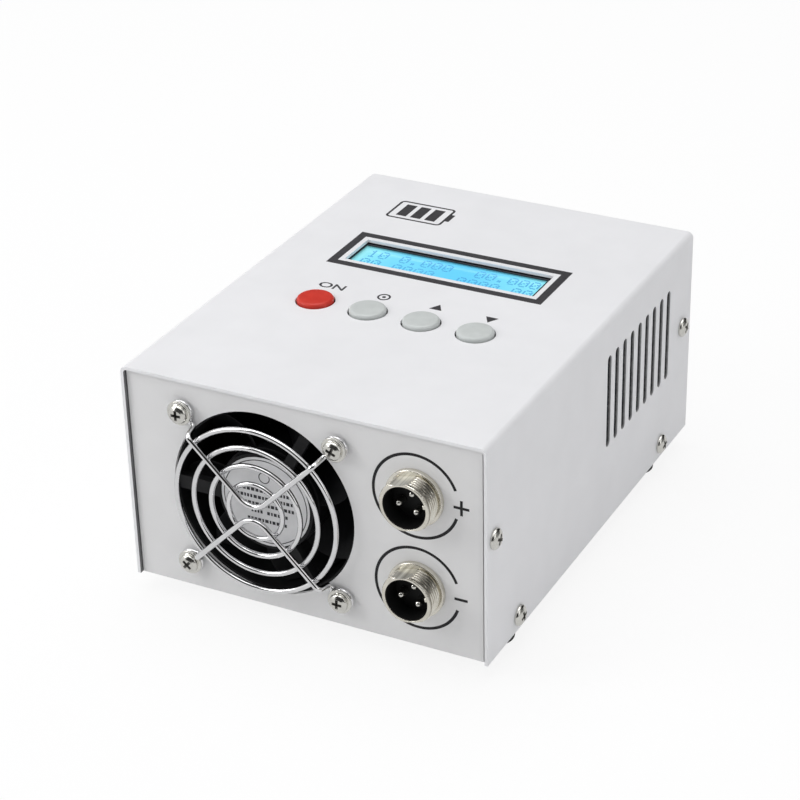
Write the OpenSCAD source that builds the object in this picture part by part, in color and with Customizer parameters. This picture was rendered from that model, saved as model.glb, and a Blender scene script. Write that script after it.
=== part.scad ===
// Battery capacity tester: a bench load and charger in a folded sheet-metal case.
// Millimetres, +Z up. The front, with fan and sockets, faces -Y. The origin is on the surface
// that the feet stand on, under the middle of the whole object.

/* [Case] */
// Width across the cover
case_w = 116; // [114:1:140]
// Length of the cover, front to back
case_l = 154; // [152:1:190]
// Height of the cover, without the feet
case_h = 70; // [64:1:90]
// Thickness of the cover and chassis sheet
sheet_t = 1; // [0.8:0.1:1.6]
// Outer radius of the cover's two long bends
cover_bend_r = 2; // [1.8:0.1:3]
// Outer radius of the chassis bends
chassis_bend_r = 2; // [1.8:0.1:3]
// How far the end panels stand behind the cover's ends
panel_recess = 1.2; // [0.4:0.1:3]
// Clearance between the cover and the chassis
cover_fit = 0.3; // [0.1:0.05:0.5]
// Depth of the folded lips round the end panels
panel_lip = 10; // [9:0.5:12]
// Height of the folded lips along the floor
floor_lip = 11; // [9:0.5:12]

/* [Feet] */
// Diameter of a rubber foot where it meets the floor sheet
foot_d = 12; // [11:0.5:16]
// Height of a foot
foot_h = 6; // [5:0.5:10]
// Foot centre, in from the side of the cover
foot_from_side = 8.2; // [7.5:0.1:16]
// Foot centres, in from each end of the cover
foot_from_end = 23; // [16:0.5:30]

/* [Cover screws] */
// Thread diameter of the cover, foot and board screws
screw_d = 3; // [2.5:0.1:3]
// Head diameter of those screws
screw_head_d = 6.4; // [5:0.1:6.6]
// Head height of those screws
screw_head_h = 1.8; // [1.6:0.1:2.4]
// Length of a cover screw under its head
screw_len = 6; // [5:0.5:8]
// Height of the middle cover screws above the case's underside
mid_screw_h = 39.8; // [30:0.1:45]
// Middle screws, in from the cover's front end
front_screw_in = 4.7; // [4.2:0.1:7.5]
// Middle screws, in from the cover's rear end
rear_screw_in = 7.5; // [4.2:0.1:7.5]
// Height of the low cover screws
low_screw_h = 4.9; // [4.6:0.1:7]
// Low screws, in from the cover's front end
low_front_in = 20.9; // [16:0.1:30]
// Low screws, in from the cover's rear end
low_rear_in = 23.4; // [16:0.1:30]

/* [Side vents] */
// Number of slots on each side
vent_count = 9; // [5:1:9]
// Distance between slot centres
vent_pitch = 6; // [4.5:0.1:6]
// Width of a slot
vent_w = 2.9; // [2:0.1:3.5]
// Length of a slot
vent_len = 31; // [20:0.5:36]
// Upper ends of the slots, below the top of the cover
vent_from_top = 12; // [8:0.5:16]
// Centre of the rearmost slot, in from the cover's rear end
vent_from_rear = 20.2; // [18:0.1:24]

/* [Fan] */
// How much taller the case is than the square fan frame
fan_room = 10; // [8:0.5:30]
// Depth of the fan frame
fan_depth = 25; // [25:0.5:28]
// Screw holes, in from the sides of the fan frame
fan_hole_in = 5; // [4.5:0.1:5.5]
// Free width of the front panel that lies left of the fan, in percent
fan_share = 44.37; // [36:0.01:48]
// How far the fan and socket axes lie below the middle of the case's height
axis_drop = 0.5; // [0:0.1:1.5]
// How much wider the front panel's fan opening is than the duct
fan_hole_extra = 1.4; // [-4:0.1:2]
// Wall of the fan's duct where it is thinnest
duct_wall = 1.2; // [0.9:0.1:1.5]
// Thickness of the fan's corner flanges
fan_flange_t = 4.5; // [3:0.1:5]
// Diameter of the motor base that the struts carry
motor_base_d = 31; // [29:0.5:32]
// Number of fan blades
blade_count = 7; // [5:1:9]
// Gap between blade tips and duct
tip_gap = 0.6; // [0.4:0.1:1]
// Diameter of the impeller's hub
hub_d = 32; // [31:0.5:34]
// Axial length of the blades
blade_len = 16; // [12:0.5:17]
// Turn of a blade from its front edge to its rear edge
blade_turn = 48; // [30:1:55]
// Diameter of the motor shaft
shaft_d = 3; // [2:0.1:3.2]
// Running clearance of the shaft, on the radius
shaft_fit = 0.05; // [0.02:0.01:0.08]

/* [Fan guard] */
// Number of guard rings
ring_count = 4; // [3:1:4]
// Centre-line radius of the smallest ring
ring_r = 8.8; // [8:0.1:9.2]
// Gap between the largest ring and the arms' bends behind it
ring_gap = 0.25; // [0.1:0.05:2]
// Wire diameter of the rings
ring_wire_d = 1.6; // [1.4:0.1:1.8]
// Wire diameter of the two bent arms
arm_wire_d = 1.7; // [1.6:0.1:2]
// Distance from the front panel to the middle of the ring wire
ring_stand = 4.4; // [4:0.1:6]
// Centre-line radius of an arm's middle bend
arm_bend_r = 5.8; // [4:0.1:8]

/* [Sockets] */
// Free width of the front panel that lies right of the sockets, in percent
socket_share = 32.68; // [26:0.01:40]
// Distance between the two sockets
socket_pitch = 30; // [26:0.5:32]
// Outer diameter of the socket's threaded shell
socket_thread_d = 16; // [15:0.1:17]
// Depth of each of the two flats milled on the thread
socket_flat_cut = 0.5; // [0.2:0.1:0.8]
// How far the shell stands in front of the panel
socket_proud = 7.2; // [6:0.1:9]
// Wall of the shell, thread included
socket_wall = 1.5; // [1.3:0.1:2]
// How far the front flange stands out beyond the thread
socket_flange_step = 0.8; // [0.6:0.1:2]
// Thickness of the front flange
socket_flange_t = 1.6; // [1:0.1:2.4]
// Length of the shell behind the panel's face
socket_rear_len = 9; // [6:0.5:12]
// Number of contact pins
pin_count = 3; // [2:1:5]
// Diameter of a contact pin
pin_d = 2.2; // [1.6:0.1:2.4]
// Diameter of the circle that the pins stand on
pin_circle_d = 6.6; // [6:0.1:7]
// How far the pins end behind the shell's rim
pin_recess = 2.4; // [1:0.1:4]

/* [Display and keys] */
// Display centre, sideways from the middle of the cover
display_shift = -1.4; // [-4:0.1:4]
// Display centre, back from the cover's front end
display_from_front = 98.3; // [94:0.1:104]
// Width of the display window
window_w = 64.4; // [60:0.1:65]
// Height of the display window
window_l = 15.5; // [14:0.1:16.5]
// Key row, back from the cover's front end
keys_from_front = 60.6; // [50:0.1:64]
// Middle of the key row, sideways from the middle of the cover
key_shift = -0.95; // [-4:0.05:4]
// Distance between keys
key_pitch = 17.78; // [16:0.01:18]
// Diameter of a key cap
key_d = 12; // [11:0.1:13]
// Clearance round a key cap in its hole
key_gap = 0.5; // [0.35:0.05:0.8]
// How far a key cap stands above the cover
key_proud = 1.4; // [1:0.1:2]
// Height of a key cap
key_cap_h = 6.4; // [5.5:0.1:8]
// Travel of a key
key_travel = 0.3; // [0.2:0.05:0.35]

/* [Inside] */
// Length of the main board
board_l = 106; // [100:1:108]
// Distance from the side of the cover to the main board
board_gap = 7; // [6:0.5:9]
// Thickness of all the circuit boards
board_t = 1.6; // [1:0.1:2]
// Height of the main board's standoffs
standoff_h = 6; // [5:0.5:8]
// Width of the board beside the heatsink, for choke and capacitors
parts_w = 28.8; // [26:0.1:34]
// Length of the heatsink
heatsink_l = 70; // [66:1:72]
// Number of heatsink fins
fin_count = 9; // [6:1:10]
// Thickness of a fin
fin_t = 1.4; // [1:0.1:1.8]

/* [Power inlet] */
// Thread diameter of the power inlet
inlet_d = 11; // [10:0.1:12]
// Hole for the power plug
inlet_bore_d = 5.7; // [5.6:0.1:6.4]
// How far the inlet stands behind the rear panel
inlet_proud = 2.8; // [2:0.1:4]
// Inlet centre, in from the right side of the cover
inlet_from_right = 30; // [26:0.5:36]
// Inlet centre above the case's underside
inlet_h = 24; // [22:0.5:30]

/* [Hidden] */
$fn = 64;
eps = 0.01;
seat = 0.05;           // gap between faces that rest on each other
thread_fit = 0.05;     // gap round a thread in its tapped hole
clear_hole = 0.2;      // extra radius of a clearance hole
headroom = 2.5;        // free height over and under the inner parts

// Places along X, Y and Z
guard_front = ring_stand + ring_wire_d / 2 + arm_wire_d;
front_proud = max(0, max(socket_proud, guard_front) - panel_recess);
rear_proud = max(0, inlet_proud - panel_recess);
front_y = (front_proud - case_l - rear_proud) / 2;
rear_y = front_y + case_l;
case_z = foot_h;
top_z = case_z + case_h;
roof_z = top_z - sheet_t;
floor_z = case_z + sheet_t;
panel_y = front_y + panel_recess;
rear_panel_y = rear_y - panel_recess;
rear_inner_y = rear_panel_y - sheet_t;
chassis_w = case_w - 2 * (sheet_t + cover_fit);
chassis_l = case_l - 2 * panel_recess;
chassis_h = case_h - sheet_t - cover_fit;
bend_in_r = 0.3;       // smallest inner radius of a bend
foot_recess = foot_h / 2;
foot_places = [for (u = [-1, 1], y = [foot_from_end, case_l - foot_from_end])
    [u * (case_w / 2 - foot_from_side), front_y + y]];
// Cover screws on each side, as distance back and height
cover_screw_places = [
    [front_screw_in, mid_screw_h],
    [case_l - rear_screw_in, mid_screw_h],
    [low_front_in, low_screw_h],
    [case_l - low_rear_in, low_screw_h]
];

// The fan and the sockets share the panel's free width
fan_size = case_h - fan_room;
fan_pitch = fan_size - 2 * fan_hole_in;
socket_nut_af = socket_thread_d + 4;
socket_nut_w = socket_nut_af / cos(30);
free_w = case_w - fan_size - socket_nut_w;
fan_x = (fan_size - case_w) / 2 + free_w * fan_share / 100;
socket_x = (case_w - socket_nut_w) / 2 - free_w * socket_share / 100;
panel_axis_h = case_h / 2 - axis_drop;

// Fan, along its own axis: 0 is the front panel's face and + is forwards
duct_d = fan_size - 2 * duct_wall;
fan_hole_d = duct_d + fan_hole_extra;
fan_front = -sheet_t - seat;
fan_back = fan_front - fan_depth;
base_front = fan_front - 0.3;
base_t = 1.8;
base_back = base_front - base_t;
strut_depth = 2.6;
strut_back = base_front - strut_depth;
tube_d = 8.4;
bearing_d = 6;
bearing_len = 14;
bearing_front = base_back - 0.6;
tube_back = bearing_front - bearing_len - 0.6;
hub_front = base_back - 1.2;
hub_wall = 1.6;
hub_back = fan_back + 1;
blade_front = strut_back - 1.2;
blade_root_r = (hub_d - hub_wall) / 2;
blade_tip_r = duct_d / 2 - tip_gap;
blade_steps = 5;
blade_half_t = 0.75;
blade_lean = 16;
press_fit = 0.02;      // gap round the shaft in the impeller's hub
shaft_back = hub_back + 0.8;
yoke_t = 0.9;
magnet_t = 1.4;
air_gap = 0.5;
hub_in_d = hub_d - 2 * hub_wall;
yoke_d = hub_in_d - 2 * seat;
magnet_d = yoke_d - 2 * yoke_t - 2 * seat;
stator_d = magnet_d - 2 * magnet_t - 2 * air_gap;
stator_len = 6;
shoe_t = 1.4;
stator_front = base_back - 5;
fan_hole_r = 2.2;
fan_screw_d = 4;
fan_nut_h = 3.2;
fan_nut_z = fan_front - fan_flange_t - seat - fan_nut_h;
label_d = motor_base_d - 2;
label_t = 0.15;
fan_corners = [for (u = [-1, 1], v = [-1, 1]) [u, v] * fan_pitch / 2];

// Fan guard
arm_z = ring_stand + (ring_wire_d + arm_wire_d) / 2 - 0.15;
eye_z = arm_wire_d / 2 + seat;
eye_r = (fan_screw_d + arm_wire_d) / 2 + clear_hole;
ramp_angle = 80;
ramp_bend_r = 2;
ramp_rise = arm_z - eye_z;
ramp_len = (ramp_rise - 2 * ramp_bend_r * (1 - cos(ramp_angle))) / sin(ramp_angle);
ramp_reach = 2 * ramp_bend_r * sin(ramp_angle) + ramp_len * cos(ramp_angle);
corner_r = fan_pitch / sqrt(2);
washer_d = 7.6;
ramp_end_r = corner_r - washer_d / 2 - 0.2;
ramp_start_r = ramp_end_r - ramp_reach;
last_ring_r = ramp_start_r - ring_wire_d / 2 - ring_gap;
ring_pitch = (last_ring_r - ring_r) / (ring_count - 1);
ring_radii = [for (i = [0:ring_count - 1]) ring_r + i * ring_pitch];
// The drop from the guard's plane to the panel, as radius and height
ramp_points = concat(
    [for (a = [0:ramp_angle / 4:ramp_angle])
        [ramp_start_r + ramp_bend_r * sin(a), arm_z - ramp_bend_r * (1 - cos(a))]],
    [for (a = [ramp_angle:-ramp_angle / 4:0])
        [ramp_end_r - ramp_bend_r * sin(a), eye_z + ramp_bend_r * (1 - cos(a))]],
    [[corner_r - eye_r, eye_z]]);

// Sockets, along their own axis as the fan
socket_flats = socket_thread_d - 2 * socket_flat_cut;
socket_bore_d = socket_thread_d - 2 * socket_wall;
socket_flange_d = socket_thread_d + 2 * socket_flange_step;
insert_face = 1.2;
pin_tail = 13;
first_pin_angle = 72.5;
flat_angle = 28;
key_ridge_angle = 15;
socket_nut_h = 2.4;

// Display and keys, down from the inside of the cover
display_x = display_shift;
display_y = front_y + display_from_front;
bezel_side = 3.4;      // bezel beyond the window, left and right
bezel_edge = 4.85;     // and front and rear
bezel_w = window_w + 2 * bezel_side;
bezel_l = window_l + 2 * bezel_edge;
bezel_h = 5.6;
bezel_t = 0.5;
bezel_z = roof_z - 0.3;
glass_z = bezel_z - bezel_t - 0.4;
glass_t = 2.2;
display_tab_w = 4.4;   // board beyond the bezel, left and right
display_tab_l = 5.4;   // and front and rear
display_board_w = bezel_w + 2 * display_tab_w;
display_board_l = bezel_l + 2 * display_tab_l;
display_board_z = bezel_z - bezel_h - board_t;
small_screw_d = 2.5;
small_head_d = 4.6;
small_head_h = 1.7;
low_head_h = 1.6;
stud_d = 5;
display_holes = [for (u = [-1, 1], v = [-1, 1])
    [display_x + u * (display_board_w / 2 - 2.5), display_y + v * (display_board_l / 2 - 2.5)]];

key_count = 4;
key_x = [for (i = [0:key_count - 1]) key_shift + (i - (key_count - 1) / 2) * key_pitch];
key_y = front_y + keys_from_front;
switch_size = 12;
switch_h = 3.5;
switch_floor = 1;
switch_lid = 0.5;
plunger_d = 6.4;
plunger_fit = 0.05;
collar_d = 7.6;
collar_h = 0.8;
stem_size = 3.8;
stem_fit = 0.05;
dome_d = 6.4;
dome_h = 0.5;
key_rise = key_travel + 0.4;
switch_z = top_z + key_proud - key_cap_h - key_rise - switch_h;
key_board_z = switch_z - board_t;
key_board_w = (key_count - 1) * key_pitch + switch_size + 14;
key_board_l = 18;
key_holes = [for (u = [-1, 1], v = [-1, 1])
    [key_shift + u * (key_board_w / 2 - 3), key_y + v * (key_board_l / 2 - 3)]];

// Main board and what stands on it
board_z = floor_z + standoff_h;
board_top = board_z + board_t;
board_rear_y = rear_inner_y - 1.5;
board_front_y = board_rear_y - board_l;
board_inset = 4;
board_w = case_w - 2 * board_gap;
board_holes = [for (u = [-1, 1], v = [0, 1])
    [u * (board_w / 2 - board_inset), board_front_y + board_inset + v * (board_l - 2 * board_inset)]];
fin_top = min(display_board_z, key_board_z) - small_head_h - headroom;
heatsink_h = fin_top - board_top - seat;
heatsink_y = panel_y - fan_back + headroom + 2;
heatsink_base_t = 5;
heatsink_inset = 9.6;
heatsink_x = heatsink_inset - board_w / 2;
device_count = 4;
device_pitch = 17;
device_w = 15.9;
device_h = 20.8;
device_t = 5;
device_lift = 4.5;
device_screw_h = 15;
device_hole_d = 3.6;
pad_t = 0.3;
device_reach = pad_t + device_t + screw_head_h + 2 * seat;
heatsink_w = board_w - heatsink_inset - device_reach - parts_w;
device_face_x = heatsink_x + heatsink_w;
device_y = [for (i = [0:device_count - 1])
    heatsink_y + heatsink_l / 2 + (i - (device_count - 1) / 2) * device_pitch];
parts_x = (board_w - parts_w) / 2;
parts_gap = 1.2;
coil_reach = parts_w / 2 - parts_gap;
coil_grip = 4.7;       // half the width of a turn
coil_r = coil_reach - coil_grip;
coil_wire = 1.3;
coil_turn_h = 14;
core_half_w = 3;
core_h = 8;
coil_z = board_top + coil_turn_h / 2 + 0.4;
coil_y = board_front_y + 2 * board_inset + coil_reach + 0.8;
shunt_leg = 9;
shunt_r = 7;
shunt_wire = 2;
shunt_y = board_rear_y - shunt_r - 2.5;
cap_count = 3;
cap_gap = 1.3;
cap_zone_front = coil_y + coil_reach;
cap_zone_l = shunt_y - shunt_r - shunt_wire / 2 - cap_zone_front;
cap_d = (cap_zone_l - (cap_count + 1) * cap_gap) / cap_count;
cap_h = 27;
cap_x = board_w / 2 - cap_d / 2 - parts_gap;
cap_y = [for (i = [0:cap_count - 1]) cap_zone_front + cap_gap + cap_d / 2 + i * (cap_d + cap_gap)];
relay_w = 19;
relay_l = 15.5;
relay_h = 15;
relay_y = board_rear_y - 20;
chip_size = 12;
chip_x = fan_x - 14;
chip_y = board_rear_y - 22;

// Rear sockets
data_w = 7.7;
data_t = 3.9;
data_x = fan_x;
data_h = board_top - case_z + data_t / 2 + seat;
data_len = 9;
inlet_x = case_w / 2 - inlet_from_right;
inlet_len = 13;
inlet_pin_d = 2.5;
inlet_nut_h = 2.2;

module round_slab(w, l, h, r) {
    linear_extrude(h) round_rect(w, l, r);
}

module round_rect(w, l, r) {
    square([w - 2 * r, l], center = true);
    square([w, l - 2 * r], center = true);
    for (u = [-1, 1], v = [-1, 1])
        translate([u * (w / 2 - r), v * (l / 2 - r)]) circle(r);
}

// Round-shouldered outline standing on the X axis
module round_top(w, h, r) {
    translate([-w / 2, 0]) square([w, h - r]);
    translate([r - w / 2, 0]) square([w - 2 * r, h]);
    for (u = [-1, 1]) translate([u * (w / 2 - r), h - r]) circle(r);
}

// Outline with round lower corners, open upwards
module round_bottom(w, h, r) {
    translate([0, r]) square([w, h - r]);
    translate([r, 0]) square([w - 2 * r, h]);
    for (x = [r, w - r]) translate([x, r]) circle(r);
}

module at_front(x, h) {
    translate([x, panel_y, case_z + h]) rotate([90, 0, 0]) children();
}

module at_rear(x, h) {
    translate([x, rear_panel_y, case_z + h]) rotate([90, 0, 180]) children();
}

module at_fan() {
    at_front(fan_x, panel_axis_h) children();
}

module at_socket(side) {
    at_front(socket_x, panel_axis_h + side * socket_pitch / 2) children();
}

// A point on a side of the cover, with +Z outwards
module on_side(side, y, h) {
    translate([side * case_w / 2, front_y + y, case_z + h]) rotate([0, side * 90, 0]) children();
}

module cross_recess(span, depth) {
    for (a = [0, 90])
        rotate(a) translate([-span / 2, -span / 8, -depth]) cube([span, span / 4, depth + 1]);
}

// Head above Z = 0, shank below
module pan_screw(d, head_d, head_h, len) {
    edge = head_h * 0.45;
    difference() {
        rotate_extrude() {
            square([head_d / 2 - edge, head_h]);
            square([head_d / 2, head_h - edge]);
            intersection() {
                translate([head_d / 2 - edge, head_h - edge]) circle(edge);
                square([head_d / 2, head_h]);
            }
        }
        translate([0, 0, head_h]) cross_recess(head_d * 0.56, head_h * 0.55);
    }
    translate([0, 0, -len]) cylinder(d = d, h = len + eps);
}

module hex_nut(across_flats, h, bore_d) {
    difference() {
        cylinder(d = across_flats / cos(30), h = h, $fn = 6);
        translate([0, 0, -1]) cylinder(d = bore_d, h = h + 2);
    }
}

function backwards(list) = [for (i = [len(list) - 1:-1:0]) list[i]];
function on_ray(p, a) = [p[0] * cos(a), p[0] * sin(a), p[1]];
function unit(v) = v / norm(v);
function tangent(path, i) = unit(path[min(i + 1, len(path) - 1)] - path[max(i - 1, 0)]);

// Round wire along a path; ref is a direction that the path never runs along
module wire(path, d, ref, sides = 10) {
    n = len(path);
    rings = [for (i = [0:n - 1])
        let (t = tangent(path, i), u = unit(cross(t, ref)), v = cross(u, t))
        for (k = [0:sides - 1])
            path[i] + d / 2 * (cos(360 * k / sides) * u + sin(360 * k / sides) * v)];
    walls = [for (i = [0:n - 2], k = [0:sides - 1])
        let (a = i * sides + k, b = i * sides + (k + 1) % sides)
        each [[a, b, b + sides], [a, b + sides, a + sides]]];
    first_cap = [[for (k = [sides - 1:-1:0]) k]];
    last_cap = [[for (k = [0:sides - 1]) (n - 1) * sides + k]];
    polyhedron(points = rings, faces = concat(first_cap, walls, last_cap), convexity = 4);
}

module slot(w, len) {
    square([len - w, w], center = true);
    for (u = [-1, 1]) translate([u * (len - w) / 2, 0]) circle(d = w);
}

module at_cover_screws() {
    for (side = [-1, 1], p = cover_screw_places) on_side(side, p[0], p[1]) children();
}

// Case

module top_cover() {
    color([0.93, 0.93, 0.94]) difference() {
        translate([0, rear_y, case_z]) rotate([90, 0, 0]) linear_extrude(case_l) difference() {
            round_top(case_w, case_h, cover_bend_r);
            translate([0, -eps])
                round_top(case_w - 2 * sheet_t, case_h - sheet_t + eps,
                    max(bend_in_r, cover_bend_r - sheet_t));
        }
        translate([display_x, display_y, roof_z + sheet_t / 2])
            cube([window_w, window_l, 3 * sheet_t], center = true);
        for (x = key_x)
            translate([x, key_y, roof_z - 1]) cylinder(d = key_d + 2 * key_gap, h = sheet_t + 2);
        for (side = [-1, 1], i = [0:vent_count - 1])
            on_side(side, case_l - vent_from_rear - i * vent_pitch, case_h - vent_from_top - vent_len / 2)
                translate([0, 0, -2 * sheet_t]) linear_extrude(3 * sheet_t) slot(vent_w, vent_len);
        at_cover_screws() translate([0, 0, -2 * sheet_t])
            cylinder(r = screw_d / 2 + clear_hole, h = 3 * sheet_t);
    }
}

module chassis() {
    color([0.86, 0.86, 0.87]) difference() {
        intersection() {
            union() {
                chassis_strip();
                for (side = [-1, 1]) chassis_lips(side);
            }
            translate([0, rear_y, case_z]) rotate([90, 0, 0]) linear_extrude(case_l)
                round_top(chassis_w, chassis_h, max(bend_in_r, cover_bend_r - sheet_t - cover_fit));
        }
        at_fan() translate([0, 0, -2 * sheet_t]) cylinder(d = fan_hole_d, h = 3 * sheet_t);
        at_fan() for (c = fan_corners)
            translate([c[0], c[1], -2 * sheet_t]) cylinder(r = fan_hole_r, h = 3 * sheet_t);
        for (side = [-1, 1])
            at_socket(side) translate([0, 0, -2 * sheet_t])
                cylinder(r = socket_thread_d / 2 + clear_hole, h = 3 * sheet_t);
        at_rear(-inlet_x, inlet_h) translate([0, 0, -2 * sheet_t])
            cylinder(r = inlet_d / 2 + clear_hole, h = 3 * sheet_t);
        at_rear(-data_x, data_h) translate([0, 0, -2 * sheet_t])
            linear_extrude(3 * sheet_t) round_rect(data_w + 0.8, data_t + 0.8, 0.6);
        at_cover_screws() translate([0, 0, -screw_len - 1])
            cylinder(r = screw_d / 2 + thread_fit, h = screw_len + 1);
        for (p = foot_places)
            translate([p[0], p[1], case_z - 1]) cylinder(r = screw_d / 2 + thread_fit, h = sheet_t + 2);
        for (p = board_holes)
            translate([p[0], p[1], case_z - 1]) cylinder(r = screw_d / 2 + clear_hole, h = sheet_t + 2);
    }
}

// Floor and both end panels, bent from one strip, with a lip along each panel's top
module chassis_strip() {
    in_r = max(bend_in_r, chassis_bend_r - sheet_t);
    translate([-chassis_w / 2, panel_y, case_z]) rotate([90, 0, 90]) linear_extrude(chassis_w) {
        difference() {
            round_bottom(chassis_l, chassis_h, chassis_bend_r);
            translate([sheet_t, sheet_t]) round_bottom(chassis_l - 2 * sheet_t, chassis_h, in_r);
        }
        for (y = [0, chassis_l - panel_lip])
            translate([y, chassis_h - sheet_t]) square([panel_lip, sheet_t]);
    }
}

// Lips that the cover screws go into
module chassis_lips(side) {
    x = side > 0 ? chassis_w / 2 - sheet_t : -chassis_w / 2;
    for (y = [panel_y, rear_panel_y - panel_lip])
        translate([x, y, case_z + chassis_bend_r]) cube([sheet_t, panel_lip, chassis_h - chassis_bend_r]);
    translate([x, panel_y + chassis_bend_r, case_z])
        cube([sheet_t, chassis_l - 2 * chassis_bend_r, floor_lip]);
}

module cover_screws() {
    color([0.78, 0.77, 0.73]) at_cover_screws() translate([0, 0, seat])
        pan_screw(screw_d, screw_head_d, screw_head_h, screw_len);
}

module rubber_feet() {
    color([0.08, 0.08, 0.08]) for (p = foot_places) translate(p) difference() {
        cylinder(d1 = foot_d - 1, d2 = foot_d, h = foot_h);
        translate([0, 0, -1]) cylinder(d = screw_head_d + 1, h = foot_recess + 1);
        cylinder(r = screw_d / 2 + clear_hole, h = foot_h + 1);
    }
}

module foot_screws() {
    color([0.78, 0.77, 0.73]) for (p = foot_places)
        translate([p[0], p[1], foot_recess - seat]) rotate([180, 0, 0])
            pan_screw(screw_d, screw_head_d, min(screw_head_h, foot_recess - 0.5),
                foot_h - foot_recess + sheet_t + 2);
}

// Fan

module fan_frame() {
    wall_r = fan_size / 2;
    color([0.1, 0.1, 0.11]) at_fan() {
        difference() {
            union() {
                for (z = [fan_front - fan_flange_t, fan_back])
                    translate([0, 0, z]) round_slab(fan_size, fan_size, fan_flange_t, 4);
                translate([0, 0, fan_back]) cylinder(r = wall_r - 0.3, h = fan_depth);
            }
            translate([0, 0, fan_back - 1]) cylinder(d = duct_d, h = fan_depth + 2);
            for (c = fan_corners)
                translate([c[0], c[1], fan_back - 1]) cylinder(r = fan_hole_r, h = fan_depth + 2);
        }
        for (a = [-60, 60, 180]) rotate(a) fan_strut(a == 180 ? 4.4 : 3.4);
        translate([0, 0, base_back]) cylinder(d = motor_base_d, h = base_t);
        difference() {
            translate([0, 0, tube_back]) cylinder(d = tube_d, h = base_back - tube_back + eps);
            translate([0, 0, tube_back - 1])
                cylinder(d = bearing_d + 2 * seat, h = bearing_front - tube_back + 1);
        }
    }
}

module fan_strut(w) {
    inner = motor_base_d / 2 - 1;
    translate([inner, -w / 2, strut_back]) cube([duct_d / 2 + 0.4 - inner, w, strut_depth]);
}

module fan_bearing() {
    color([0.72, 0.6, 0.36]) at_fan() difference() {
        translate([0, 0, bearing_front - bearing_len]) cylinder(d = bearing_d, h = bearing_len - seat);
        translate([0, 0, bearing_front - bearing_len - 1])
            cylinder(r = shaft_d / 2 + shaft_fit, h = bearing_len + 2);
    }
}

module fan_circuit() {
    color([0.1, 0.35, 0.2]) at_fan() difference() {
        translate([0, 0, base_back - 1 - seat]) cylinder(d = stator_d, h = 1);
        translate([0, 0, base_back - 3]) cylinder(d = tube_d + 2 * seat, h = 4);
    }
}

module fan_stator() {
    core_r = tube_d / 2 + seat;
    color([0.5, 0.5, 0.52]) at_fan() translate([0, 0, stator_front - stator_len])
        linear_extrude(stator_len) difference() {
            union() {
                circle(core_r + 2);
                for (a = [0:90:270]) rotate(a) {
                    translate([core_r + 1, -1.4]) square([stator_d / 2 - core_r - 2, 2.8]);
                    pole_shoe();
                }
            }
            circle(core_r);
        }
}

module pole_shoe() {
    r = stator_d / 2;
    intersection() {
        difference() {
            circle(r);
            circle(r - shoe_t);
        }
        polygon([[0, 0], [2 * r, -1.3 * r], [2 * r, 1.3 * r]]);
    }
}

module fan_windings() {
    core_r = tube_d / 2 + seat;
    half_w = 2.3;
    inner = core_r + 2.2;
    len = sqrt(pow(stator_d / 2 - shoe_t, 2) - half_w * half_w) - seat - inner;
    color([0.75, 0.4, 0.2]) at_fan() for (a = [0:90:270]) rotate(a) difference() {
        translate([inner, -half_w, stator_front - stator_len - 1]) cube([len, 2 * half_w, stator_len + 2]);
        translate([inner - 1, -1.4 - seat, stator_front - stator_len - seat])
            cube([len + 2, 2.8 + 2 * seat, stator_len + 2 * seat]);
    }
}

module fan_label() {
    color([0.78, 0.78, 0.79]) at_fan() translate([0, 0, base_front + seat / 2])
        cylinder(d = label_d, h = label_t);
}

// Outline of a blade across the axis: a thin bar that leans back towards its tip
function blade_side(t) = [for (i = [0:blade_steps])
    let (s = i / blade_steps, r = blade_root_r + s * (blade_tip_r - blade_root_r))
    let (a = blade_lean * s * s, half_t = t * (1 - s / 3))
    [r * cos(a) - half_t * sin(a), r * sin(a) + half_t * cos(a)]];

module blade() {
    translate([0, 0, blade_front - blade_len])
        linear_extrude(height = blade_len, twist = blade_turn, slices = 8, segments = 1)
            polygon(concat(blade_side(-blade_half_t), backwards(blade_side(blade_half_t))));
}

module fan_impeller() {
    boss_d = shaft_d + 4;
    color([0.09, 0.09, 0.1]) at_fan() {
        difference() {
            translate([0, 0, hub_back]) cylinder(d = hub_d, h = hub_front - hub_back);
            translate([0, 0, hub_back + hub_wall]) cylinder(d = hub_in_d, h = fan_depth);
            translate([0, 0, shaft_back]) cylinder(r = shaft_d / 2 + press_fit, h = fan_depth);
        }
        difference() {
            translate([0, 0, shaft_back]) cylinder(d = boss_d, h = tube_back - 0.6 - shaft_back);
            translate([0, 0, hub_back]) cylinder(r = shaft_d / 2 + press_fit, h = fan_depth);
        }
        for (i = [0:blade_count - 1]) rotate(i * 360 / blade_count) blade();
    }
}

module fan_shaft() {
    color([0.7, 0.7, 0.72]) at_fan() translate([0, 0, shaft_back + seat])
        cylinder(d = shaft_d, h = bearing_front - 0.5 - shaft_back - seat);
}

module rotor_yoke() {
    color([0.45, 0.45, 0.47]) at_fan() difference() {
        translate([0, 0, hub_back + hub_wall + seat])
            cylinder(d = yoke_d, h = hub_front - 0.4 - hub_back - hub_wall);
        translate([0, 0, hub_back]) cylinder(d = yoke_d - 2 * yoke_t, h = fan_depth);
    }
}

module rotor_magnet() {
    color([0.18, 0.17, 0.17]) at_fan() difference() {
        translate([0, 0, stator_front - stator_len - 2]) cylinder(d = magnet_d, h = stator_len + 4);
        translate([0, 0, hub_back]) cylinder(d = magnet_d - 2 * magnet_t, h = fan_depth);
    }
}

// Fan guard

module fan_guard() {
    color([0.82, 0.82, 0.83]) at_fan() {
        for (r = ring_radii)
            translate([0, 0, ring_stand]) wire_arc(r, ring_wire_d, 0, 360);
        for (turn = [0, 180]) rotate(turn) guard_arm();
        for (c = fan_corners)
            translate([c[0], c[1], eye_z]) wire_arc(eye_r, arm_wire_d, 0, 360);
    }
}

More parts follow.
